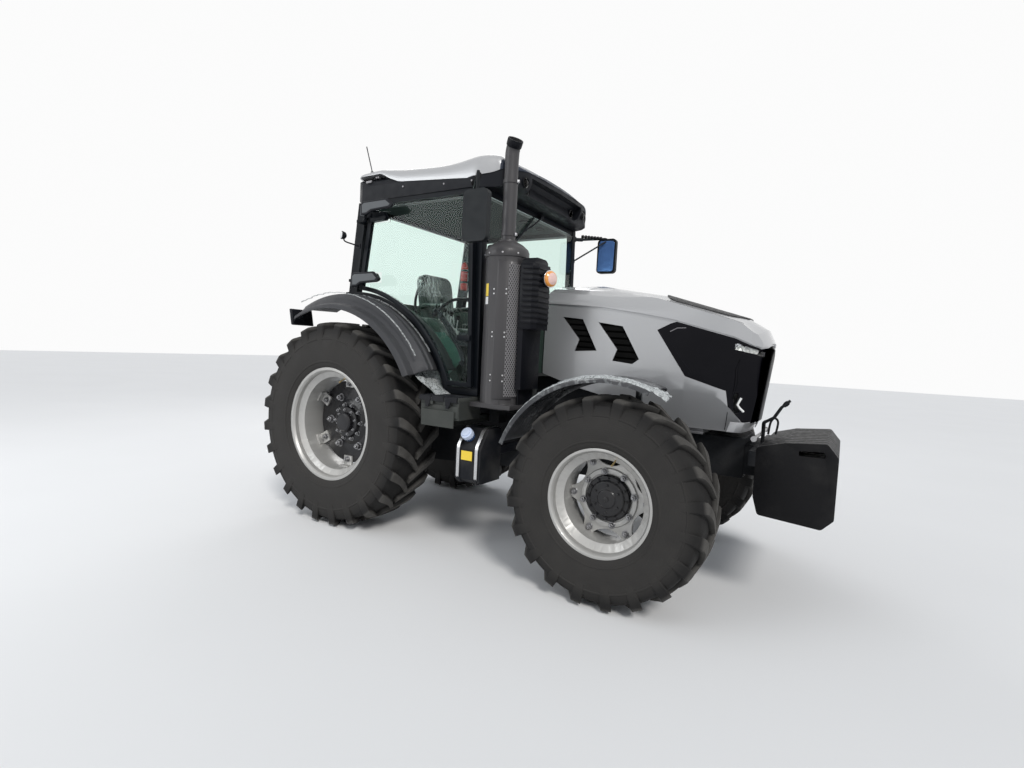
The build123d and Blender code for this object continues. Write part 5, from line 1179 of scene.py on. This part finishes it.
def stuffed(name, size, place, channels, cap):
    """A seat pad: foam block a little small, swelled under its cover between pinned seams."""
    start = bmesh.new()
    bmesh.ops.create_cube(start, size=1.0)
    bmesh.ops.scale(start, vec=size, verts=start.verts)
    corners = [e for e in start.edges if abs((e.verts[0].co - e.verts[1].co).z) > size[2] * 0.9]
    bmesh.ops.bevel(start, geom=corners, offset=0.085, segments=6, affect="EDGES", profile=0.5)
    rims = [e for e in start.edges if len(e.link_faces) == 2 and e.calc_face_angle() > 1.2]
    bmesh.ops.bevel(start, geom=rims, offset=size[2] * 0.32, segments=4, affect="EDGES", profile=0.5)
    mesh = bpy.data.meshes.new(name)
    start.to_mesh(mesh)
    start.free()
    thing = bpy.data.objects.new(name, mesh)
    bpy.context.scene.collection.objects.link(thing)
    net = thing.modifiers.new("net", "REMESH")
    net.mode, net.voxel_size = "VOXEL", NET_SIZE
    bpy.context.view_layer.update()
    thing.data = bpy.data.meshes.new_from_object(thing.evaluated_get(bpy.context.evaluated_depsgraph_get()))
    thing.modifiers.clear()
    seams = thing.vertex_groups.new(name="seams")
    for vert in thing.data.vertices:
        x, y, z = vert.co
        if z > 0 and any(abs(x * nx + y * ny - d) < SEAM_HALF for nx, ny,
                         d in channels) or z < -size[2] * 0.42:
            seams.add([vert.index], 1.0, "ADD")
    first = [v.co.copy() for v in thing.data.vertices]
    cloth = thing.modifiers.new("cover", "CLOTH")
    cloth.settings.use_pressure, cloth.settings.uniform_pressure_force = True, COVER_PRESSURE
    cloth.settings.effector_weights.gravity = 0.0
    cloth.settings.vertex_group_mass = "seams"
    for step in range(1, COVER_STEPS + 1):
        bpy.context.scene.frame_set(step)
    shaped = thing.evaluated_get(bpy.context.evaluated_depsgraph_get()).to_mesh()
    moved = [v.co.copy() for v in shaped.vertices]
    thing.modifiers.clear()
    for vert, a, b in zip(thing.data.vertices, first, moved):
        way = b - a
        vert.co = a + way * min(1.0, cap / max(way.length, 1e-9))
    bpy.context.scene.frame_set(1)
    thing.data.transform(place)
    finer = thing.modifiers.new("finer", "SUBSURF")
    finer.levels = finer.render_levels = 1
    thing.data.shade_smooth()
    dress(thing, more["filmed_seat"])
    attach(thing, "chassis")
    return thing


def seat_pieces():
    lo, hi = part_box("seat")
    base = Matrix.Translation((hi.x - 0.238, 0, lo.z + 0.458))
    cushion = stuffed("seat_cushion", (0.455, 0.455, 0.085), base,
                      ((0, 1, 0.135), (0, 1, -0.135), (1, 0, -0.06)), 0.024)
    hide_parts("seat")
    lean = Matrix.Rotation(-atan(0.10 / 0.55), 4, "Y")
    upright = Matrix.Translation((lo.x + 0.103, 0, 1.885)) @ lean @ Matrix.Rotation(pi / 2, 4, "Y")
    stuffed("seat_back", (0.500, 0.440, 0.080), upright, ((0, 1, 0.130), (0, 1, -0.130), (1, 0, -0.12)),
            0.022)
    rows = []
    for i in range(23):
        z = lo.z + 0.030 + 0.365 * i / 22
        wide = 0.165 + (0.012 if i % 2 else -0.004)
        deep = 0.155 + (0.012 if i % 2 else -0.004)
        rows.append([Vector((lo.x + 0.325 + deep * max(-1, min(1, 1.25 * cos(a))),
                             wide * max(-1, min(1, 1.25 * sin(a))), z))
                     for a in (tau * k / 40 for k in range(40))])
    boot = Stock()
    boot.rows(rows)
    boot.piece("seat_bellows", "chassis", "trim_black", more["bellows"], crease=60)
    tray = Stock()
    tray.block((lo.x + 0.130, -0.200, lo.z + 0.385), (hi.x - 0.040, 0.200, lo.z + 0.412))
    tray.block((lo.x + 0.140, -0.170, lo.z), (lo.x + 0.510, 0.170, lo.z + 0.035))
    tray.piece("seat_tray", "chassis", "trim_black", None, bevel=0.008, steps=3)
    arms = Stock()
    for s in (1, -1):
        arms.tube(arc_path([(lo.x + 0.075, s * 0.215, 1.80), (lo.x + 0.11, s * 0.232, 1.83),
                            (lo.x + 0.20, s * 0.232, 1.845),
                            (lo.x + 0.40, s * 0.232, 1.85)]), [0.014, 0.02, 0.02, 0.024] * 4 + [0.024] * 3,
                            14)
    arms.piece("seat_armrests", "chassis", "trim_black", more["filmed_lining"])
    frame_back = Stock()
    frame_back.tube(arc_path([(lo.x + 0.16, -0.15, 1.575), (lo.x + 0.060, -0.185, 1.62),
                              (lo.x + 0.012, -0.19, 1.86),
                              (lo.x + 0.006, -0.15, 2.00)]), 0.012)
    frame_back.tube(arc_path([(lo.x + 0.16, 0.15, 1.575), (lo.x + 0.060, 0.185, 1.62),
                              (lo.x + 0.012, 0.19, 1.86),
                              (lo.x + 0.006, 0.15, 2.00)]), 0.012)
    frame_back.piece("seat_back_frame", "chassis", "trim_black")


def over(node):
    """A finder of the top of a CAD node: (x, y) to a point."""
    mesh = frame["nodes"][node].data
    tree = BVHTree.FromPolygons([v.co.copy() for v in mesh.vertices],
                                [list(p.vertices) for p in mesh.polygons])

    def find(x, y, start=3.0):
        hit = tree.ray_cast(Vector((x, y, start)), Vector((0, 0, -1)))[0]
        return hit
    return find


def controls():
    """Levers, pedals, display, extinguisher and floor mat."""
    top = over("consoles")
    sticks, knobs = Stock(), Stock()
    for x, y, tall in ((-0.55, -0.42, 0.11), (-0.48, -0.42, 0.12), (-0.41, -0.42, 0.13),
                       (-0.62, -0.38, 0.15),
                       (-0.55, 0.42, 0.12), (-0.40, 0.42, 0.10)):
        foot = top(x, y)
        if foot is None:
            continue
        tip = foot + Vector((0.02, 0, tall))
        sticks.tube([foot - Vector((0, 0, 0.01)), tip], 0.005, 10)
        knobs.round([(-0.018, 0.008), (-0.010, 0.014), (0.006, 0.017), (0.018, 0.012), (0.021, 0.0)], tip,
                    tip - foot, 16)
    sticks.piece("control_levers", "chassis", "steel")
    knobs.piece("control_knobs", "chassis", "trim_black", more["seal"])
    pedals = Stock()
    for y, x in ((-0.20, -0.02), (-0.12, -0.02), (0.15, -0.02)):
        pedals.tube([(x + 0.08, y, 1.40), (x + 0.03, y, 1.30), (x - 0.03, y, 1.24)], 0.008, 10)
        pedals.slab([(x - 0.055, y - 0.035, 1.215), (x - 0.055, y + 0.035, 1.215),
                     (x - 0.010, y + 0.035, 1.275),
                     (x - 0.010, y - 0.035, 1.275)], (0.008, 0, -0.006))
    pedals.piece("pedals", "chassis", "trim_black", None, bevel=0.003)
    mat = Stock()
    mat.slab([(-0.50, -0.60, 1.1502), (0.02, -0.60, 1.1502), (0.02, 0.60, 1.1502), (-0.50, 0.60, 1.1502)],
             (0, 0, 0.006))
    for i in range(16):
        mat.block((-0.47 + 0.03 * i, -0.56, 1.155), (-0.46 + 0.03 * i, 0.56, 1.159))
    mat.piece("floor_mat", "chassis", "trim_black", more["bellows"], bevel=0.001)
    bottle, valve = Stock(), Stock()
    at = Vector((-1.150, 0.655, 2.085))
    bottle.round([(0, 0.030), (0.006, 0.037), (0.235, 0.037), (0.265, 0.028), (0.280, 0.014),
                  (0.288, 0.012)], at, (0, 0, 1), 28)
    bottle.piece("extinguisher", "chassis", "mask_black", more["red_paint"], crease=50)
    valve.round([(0.285, 0.013), (0.315, 0.013), (0.320, 0.009)], at, (0, 0, 1), 16)
    valve.tube([at + Vector((0, 0, 0.320)), at + Vector((0.02, -0.01, 0.345)),
                at + Vector((0.065, -0.03, 0.350))], 0.006)
    valve.tube(arc_path([at + Vector((0.012, 0, 0.300)), at + Vector((0.05, 0, 0.29)),
                         at + Vector((0.050, 0, 0.22)),
                         at + Vector((0.044, 0, 0.08))]), 0.006)
    valve.round([(0.07, 0.040), (0.09, 0.040)], at, (0, 0, 1), 24)
    valve.round([(0.19, 0.040), (0.21, 0.040)], at, (0, 0, 1), 24)
    valve.block((at.x - 0.012, at.y + 0.036, at.z + 0.05), (at.x + 0.012, 0.702, at.z + 0.23))
    valve.piece("extinguisher_valve", "chassis", "trim_black", None, bevel=0.001)
    dash = Stock()
    dash.slab([(-0.075, -0.155, 1.900), (-0.120, -0.150, 2.000), (-0.120, 0.150, 2.000),
               (-0.075, 0.155, 1.900)], (0.035, 0, 0.008))
    dash.piece("dash_hood", "chassis", "trim_black", more["filmed_lining"], bevel=0.008, steps=3)
    screen = Stock()
    screen.block((-0.31, -0.405, 1.985), (-0.29, -0.245, 2.095))
    screen.tube([(-0.295, -0.325, 1.99), (-0.28, -0.38, 1.90), (-0.27, -0.42, 1.86)], 0.008)
    screen.piece("display", "chassis", "mask_black", None, bevel=0.006, steps=3)


# ---------------------------------------------------------------- fenders, steps and film
def fender_details():
    centre = Vector((REAR.x, 0, REAR.z))
    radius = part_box("rear_fenders")[1].z - centre.z
    for side, s in SIDES:
        for i, (y, thick, deg0, deg1) in enumerate(((0.705, 0.004, 40, 100), (0.775, 0.005, 36, 108),
                                                    (0.96, 0.003, 34, 112))):
            edge, rows = Stock(), []
            count = 60
            for k in range(count + 1):
                a = radians(deg0 + (deg1 - deg0) * k / count)
                wave = 0.0017 * sin(k * 2.1 + i) + 0.0016 * sin(k * 5.3 + 2 * i + s)
                r = radius + 0.0005 + wave
                rows.append([Vector((centre.x + (r + dr) * cos(a), s * (y + dy + 2.2 * wave),
                                     centre.z + (r + dr) * sin(a)))
                             for dy, dr in ((-0.006, -0.004), (-0.002, thick), (0.003, thick * 0.8),
                                            (0.006, -0.004))])
            edge.rows(rows)
            edge.piece(f"fender_film_{i}_{side}", "chassis", "fender_plastic", more["edge_film"], crease=60)
        lamp_box = Stock()
        y0, y1 = sorted((s * 0.80, s * 1.01))
        lamp_box.slab([(-1.660, y0, 1.610), (-1.660, y1, 1.610), (-1.690, y1, 1.745), (-1.690, y0, 1.745)],
                      (-0.030, 0, 0))
        lamp_box.piece(f"tail_lamp_box_{side}", "chassis", "trim_black", None, bevel=0.008, steps=3)
        for name, a, b, look in (("stop", 0.805, 0.870, "red_lens"), ("turn", 0.874, 0.938, "amber"),
                                 ("rear", 0.942, 1.005, "white_label")):
            lens = Stock()
            c, d = sorted((s * a, s * b))
            lens.slab([(-1.691, c, 1.618), (-1.691, d, 1.618), (-1.719, d, 1.737), (-1.719, c, 1.737)],
                      (-0.006, 0, 0))
            lens.piece(f"tail_{name}_{side}", "chassis", "lamp_lens", more[look], bevel=0.003)
    for side, s in SIDES:
        flap = []
        count, deep = 16, 14
        for i in range(count + 1):
            u = i / count
            row = []
            for k in range(deep + 1):
                v = k / deep
                x = -0.470 + 0.300 * v - 0.030 * u * (1 - v)
                z = 1.345 - 0.21 * v + 0.012 * sin(6 * u + 3 * v)
                y = 0.600 + 0.330 * u
                fold = 0.006 * sin(9.0 * u + 5.0 * v + s) + 0.004 * sin(23.0 * u - 11.0 * v)
                row.append(Vector((x + fold, s * y, z + fold * 0.7)))
            flap.append(row)
        film = Stock()
        film.rows(flap, closed=False, capped=False)
        sheet = film.piece(f"fender_foot_film_{side}", "chassis", "fender_plastic", more["film"],
                           crease=180)


def wrap(name, grid, body, slot, finish):
    """A loose sheet of packing film through a grid of points; its lengths across and along are summed but
    not kept.
    """
    film = Stock()
    film.rows(grid, closed=False, capped=False)
    made = film.piece(name, body, slot, finish, crease=180)
    across = [sum((b - a).length for a, b in zip(row, row[1:])) for row in grid]
    along = [sum((b[k] - a[k]).length for a, b in zip(grid, grid[1:])) for k in range(len(grid[0]))]


def crumple(i, k, seed, depth):
    return depth * (0.6 * sin(1.9 * i + 0.8 * k + seed) + 0.5 * sin(0.9 * i - 2.3 * k + 2 * seed)
                    + 0.35 * sin(4.1 * i + 3.1 * k + 3 * seed))


def fender_film():
    """Film left on the front fenders' outer edges, hanging past their front tips."""
    for side, s in SIDES:
        top = over(f"front_fender_{side}")
        lo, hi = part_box(f"front_fender_{side}")
        grid, last = [], None
        count = 54
        for i in range(count + 1):
            x = lo.x + 0.030 + (hi.x - lo.x - 0.034) * i / count
            row = []
            for k, y in enumerate((1.000, 1.012, 1.024, 1.036, 1.048, 1.057, 1.0645)):
                hit = top(x, s * min(y, 1.058))
                z = hit.z if hit is not None else (last[k].z if last else None)
                if z is None:
                    break
                lift = 0.003 + abs(crumple(i * 0.8, k, s, 0.005)) - (0.012 if k == 6 else 0)
                row.append(Vector((x, s * y, z + lift)))
            if len(row) == 7:
                grid.append(row)
                last = row
        tip = grid[-1]
        for i in range(1, 7):
            grid.append([Vector((p.x + 0.014 * i + crumple(i, k, s, 0.006),
                                 p.y - s * (0.003 * i + 0.011 * i * (1 - k / 6)),
                                 p.z - 0.0010 * i * i - 0.002 * i + crumple(i, k, 2 + s, 0.008)))
                         for k, p in enumerate(tip)])
        wrap(f"front_fender_film_{side}", grid, f"knuckle_{side}", "fender_plastic", more["film"])


def cab_film():
    """Film over the side consoles beside the seat, the grab bar above them and the doors' grips."""
    for side, s in SIDES:
        corners = [Vector((-0.640, s * 0.532, 1.600)), Vector((-0.430, s * 0.536, 1.605)),
                   Vector((-0.200, s * 0.540, 1.415)), Vector((-0.415, s * 0.534, 1.235))]
        grid = []
        for i in range(17):
            u = i / 16
            a, b = corners[0].lerp(corners[3], u), corners[1].lerp(corners[2], u)
            grid.append([a.lerp(b, k / 12) + Vector((0, s * abs(crumple(i * 0.7, k, s, 0.012)),
                                                     crumple(i, k, 3, 0.003)))
                         for k in range(13)])
        wrap(f"console_film_{side}", grid, "chassis", "seat_fabric", more["wrap_film"])
        bar = Stock()
        bar.tube(arc_path([(-0.560, s * 0.50, 1.755), (-0.400, s * 0.50, 1.858), (-0.160, s * 0.50, 1.860),
                           (-0.110, s * 0.49, 1.800)]), 0.012)
        bar.round([(-0.02, 0.020), (0.006, 0.020), (0.012, 0.014)], (-0.560, s * 0.50, 1.755),
                  (0.5, 0, 0.35), 20)
        bar.piece(f"grab_bar_{side}", "chassis", "trim_black")
        grip = Stock()
        grip.tube(arc_path([(-0.300, s * 0.772, 1.712), (-0.292, s * 0.742, 1.692),
                            (-0.215, s * 0.740, 1.595), (-0.135, s * 0.740, 1.490),
                            (-0.092, s * 0.742, 1.400), (-0.088, s * 0.772, 1.375)]), 0.014, 16)
        grip.piece(f"door_grip_{side}", f"door_{side}", "trim_black")


def hitch_pin():
    """Grip of the tow pin's handle and its loop."""
    grip = Stock()
    grip.tube([(1.972, 0, 1.212), (1.985, 0, 1.226), (1.998, 0, 1.240)], [0.012, 0.0165, 0.014], 16)
    grip.tube(arc_path([(1.895, -0.022, 1.020), (1.905, -0.022, 1.100), (1.925, 0.0, 1.128),
                        (1.945, 0.022, 1.100),
                        (1.935, 0.022, 1.020)]), 0.007)
    grip.piece("pin_grip", "chassis", "trim_black")


def step_details():
    lo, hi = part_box("right_step")
    treads, tabs = Stock(), Stock()
    for i in range(7):
        y = lo.y + 0.020 + 0.026 * i
        treads.block((lo.x + 0.018, y, hi.z - 0.002), (hi.x - 0.018, y + 0.010, hi.z + 0.004))
    for i in range(3):
        x0, x1 = lo.x + 0.004 + (hi.x - lo.x - 0.008) * i / 3 + 0.004, lo.x + 0.004 + (hi.x - lo.x
                                                            - 0.008) * (i + 1) / 3 - 0.004
        treads.block((x0, lo.y - 0.005, hi.z - 0.034), (x1, lo.y + 0.175, hi.z + 0.001))
    treads.piece("step_treads", "chassis", "trim_black", None, bevel=0.0015)
    for x in (lo.x + 0.085, lo.x + 0.265):
        tabs.block((x - 0.022, lo.y - 0.006, hi.z - 0.060), (x + 0.022, lo.y + 0.004, hi.z - 0.012))
        tabs.block((x - 0.014, lo.y - 0.010, hi.z - 0.078), (x + 0.014, lo.y + 0.002, hi.z - 0.056))
    tabs.piece("step_latches", "chassis", "trim_black", None, bevel=0.003)
    panel = Stock()
    panel.block((lo.x + 0.03, lo.y - 0.002, lo.z + 0.03), (hi.x - 0.03, lo.y + 0.004, hi.z - 0.095))
    panel.piece("step_panel", "chassis", "chassis_grey", more["step_grey"], bevel=0.004)
    lo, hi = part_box("fuel_tank")
    cap = Stock()
    cap.round([(-0.010, 0.038), (0.010, 0.040), (0.030, 0.038), (0.034, 0.030), (0.034, 0.0)],
              (hi.x - 0.10, hi.y - 0.12, hi.z), (0, 0, 1), 30)
    cap.piece("fuel_cap", "chassis", "trim_black", None, bevel=0.002)
    lo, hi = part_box("additive_tank")
    straps = Stock()
    for x in (lo.x + 0.030, hi.x - 0.030):
        path = [(-0.640, 0.936), (-0.782, 0.936), (-0.815, 0.915), (-0.884, 0.812), (-0.890, 0.780),
                (-0.890, 0.585), (-0.868, 0.556)]
        straps.rows([[Vector((x - 0.012, y, z)), Vector((x + 0.012, y, z)),
                      Vector((x + 0.012, y + 0.004, z - 0.004)),
                      Vector((x - 0.012, y + 0.004, z - 0.004))] for y, z in path])
    straps.piece("tank_straps", "chassis", "steel", None, bevel=0.001)
    rod = Stock()
    rod.tube([(1.846, -0.30, 1.015), (1.846, 0.30, 1.015)], 0.011, 16)
    rod.round([(0, 0.018), (0.012, 0.018)], (1.846, -0.312, 1.015), (0, 1, 0), 16)
    rod.round([(0, 0.018), (0.012, 0.018)], (1.846, 0.300, 1.015), (0, 1, 0), 16)
    rod.piece("carrier_rod", "chassis", "steel")


# ---------------------------------------------------------------- rear
def rear_details():
    guard = Stock()
    lo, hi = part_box("pto_shaft")
    y, z = 0.10, (lo.z + hi.z) / 2
    loop = [(-y, z - 0.02), (-y, z + 0.075), (-y + 0.03, z + 0.105), (y - 0.03, z + 0.105), (y, z + 0.075),
            (y, z - 0.02)]
    inner = [(t * 0.96, v - 0.005 if v > z else v) for t, v in loop]
    guard.slab([(lo.x + 0.005, t, v) for t, v in loop + inner[::-1]], (0.110, 0, 0))
    guard.piece("pto_guard", "chassis", "trim_black", None, bevel=0.0015)
    block, caps = Stock(), {"cap_red": Stock(), "cap_yellow": Stock(), "blue_ring": Stock()}
    for s in (1, -1):
        a, b = sorted((s * 0.085, s * 0.215))
        block.block((-1.560, a, 0.985), (-1.522, b, 1.100))
        for i, look in enumerate(("cap_red", "cap_yellow", "blue_ring", "cap_red")):
            at = (-1.560, s * (0.118 + 0.062 * (i % 2)), 1.016 + 0.052 * (i // 2))
            block.round([(0, 0.019), (0.016, 0.019), (0.020, 0.016)], at, (-1, 0, 0), 20)
            caps[look].round([(0.016, 0.0165), (0.034, 0.0155), (0.038, 0.012), (0.038, 0.0)], at,
                             (-1, 0, 0), 20)
    block.piece("coupler_block", "chassis", "cast_grey", None, bevel=0.003)
    for look, stock in caps.items():
        stock.piece(f"coupler_{look}", "chassis", "trim_black", more[look])


# ---------------------------------------------------------------- studio
FLOOR_HALF, FLOOR_Z = 40, -0.002
WORLD_STRENGTH = 0.55


def floor_finish():
    f = Finish("floor", (0.80, 0.80, 0.80), 0.9)
    f.set(**{"Base Color": f.blend(f.noise(0.6), (0.78, 0.78, 0.78, 1), (0.82, 0.82, 0.82, 1))})
    return f


def studio():
    """The floor, and a world that is white to the eye and plain to the machine."""
    plane = bpy.data.meshes.new("floor")
    corners = [(x * FLOOR_HALF, y * FLOOR_HALF, FLOOR_Z) for x, y in ((-1, -1), (1, -1), (1, 1), (-1, 1))]
    plane.from_pydata(corners, [], [(0, 1, 2, 3)])
    floor = bpy.data.objects.new("floor", plane)
    bpy.context.scene.collection.objects.link(floor)
    dress(floor, floor_finish())
    world = bpy.data.worlds.new("studio")
    bpy.context.scene.world = world
    world.use_nodes = True
    nodes, links = world.node_tree.nodes, world.node_tree.links
    rays = nodes.new("ShaderNodeLightPath")
    either = nodes.new("ShaderNodeMath")
    either.operation = "ADD"
    any_ray = nodes.new("ShaderNodeMath")
    any_ray.operation, any_ray.use_clamp = "ADD", True
    links.new(rays.outputs["Is Camera Ray"], either.inputs[0])
    links.new(rays.outputs["Is Glossy Ray"], either.inputs[1])
    links.new(either.outputs[0], any_ray.inputs[0])
    links.new(rays.outputs["Is Transmission Ray"], any_ray.inputs[1])
    light = nodes["Background"]
    light.inputs["Color"].default_value = (0.88, 0.93, 1.0, 1)
    light.inputs["Strength"].default_value = WORLD_STRENGTH
    seen = nodes.new("ShaderNodeBackground")
    seen.inputs["Color"].default_value = (0.97, 0.97, 0.97, 1)
    mixed = nodes.new("ShaderNodeMixShader")
    links.new(any_ray.outputs[0], mixed.inputs[0])
    links.new(light.outputs[0], mixed.inputs[1])
    links.new(seen.outputs[0], mixed.inputs[2])
    links.new(mixed.outputs[0], nodes["World Output"].inputs["Surface"])


def lamp(name, kind, energy, place, aim, size, colour=(1, 1, 1)):
    light = bpy.data.lights.new(name, kind)
    light.energy, light.color = energy, colour
    if kind == "SUN":
        light.angle = radians(size)
    else:
        light.shape, light.size, light.size_y = "RECTANGLE", size, size * 0.6
    holder = bpy.data.objects.new(name, light)
    bpy.context.scene.collection.objects.link(holder)
    holder.location = place
    holder.rotation_mode = "QUATERNION"
    holder.rotation_quaternion = (Vector(aim) - Vector(place)).to_track_quat("-Z", "Y")


def lights():
    lamp("key", "SUN", 1.8, (7, -6, 9), (0, 0, 1), 14, (1.0, 0.98, 0.95))
    lamp("fill", "AREA", 160, (-5, -7, 4), (0, 0, 1), 5, (0.95, 0.98, 1.0))
    lamp("rim", "AREA", 120, (-5, 6, 6), (0, 0, 1.5), 5)


SENSOR = 36
FOCAL_SHARE = 544.95 / 1024          # focal length as a share of the frame's width
EYE = (3.518 - 1.225, -3.954, 1.491)


def camera():
    """The view from the right front, at eye height."""
    yaw, pitch, roll = radians(31.275), radians(3.576), radians(2.833)
    ahead = Vector((-sin(yaw) * cos(pitch), cos(yaw) * cos(pitch), -sin(pitch)))
    made = bpy.data.cameras.new("camera")
    made.sensor_width, made.lens = SENSOR, FOCAL_SHARE * SENSOR
    made.clip_end = 200
    holder = bpy.data.objects.new("camera", made)
    bpy.context.scene.collection.objects.link(holder)
    holder.location = Vector(EYE)
    holder.rotation_mode = "QUATERNION"
    holder.rotation_quaternion = ahead.to_track_quat("-Z", "Y") @ Matrix.Rotation(roll, 3,
                                                            "Z").to_quaternion()
    bpy.context.scene.camera = holder


for node, thing in frame["nodes"].items():
    tyre = slot_of[node] == "tyre"
    dress(thing, tread_rubber(node, 0, 0, 1) if tyre else finishes[slot_of[node]])
SOFTENED = {  # CAD node: how far its edges are broken, in metres
    "cab_frame": 0.006, "cab_floor": 0.006, "door_frame_left": 0.004,
    "door_frame_right": 0.004, "rear_fenders": 0.004, "front_fender_left": 0.003,
    "front_fender_right": 0.003,
    "front_weights": 0.007, "weight_carrier": 0.004, "exhaust_can": 0.003, "intake_box": 0.004,
    "additive_tank": 0.006, "right_step": 0.003, "fuel_tank": 0.008, "transmission": 0.008, "engine": 0.010,
    "front_frame": 0.006, "front_axle": 0.006, "knuckle_left": 0.005, "knuckle_right": 0.005,
    "consoles": 0.018, "steering_column": 0.004, "lift_arms": 0.005, "lower_links": 0.003, "drawbar": 0.004,
    "radiator": 0.006, "rim_rear_left": 0.002, "rim_rear_right": 0.002,
    "rim_front_left": 0.002, "rim_front_right": 0.002, "hub_rear_left": 0.002, "hub_rear_right": 0.002,
    "hub_front_left": 0.002, "hub_front_right": 0.002,
}
LOOKS = {"intake_box": "intake_dark", "cab_floor": "cab_lining", "consoles": "filmed_lining",
         "right_step": "step_grey", "front_fender_left": "filmed_fender",
         "front_fender_right": "filmed_fender"}
for node, width in SOFTENED.items():
    softened(node, width, more[LOOKS[node]] if node in LOOKS else None)
tyres()
wheel_hardware()
stack_details()
hood_details()
roof_details()
door_details()
mirror_details()
seat_pieces()
controls()
fender_details()
fender_film()
cab_film()
hitch_pin()
step_details()
rear_details()
camera()
lights()
studio()
bpy.context.scene.view_settings.view_transform = "Standard"
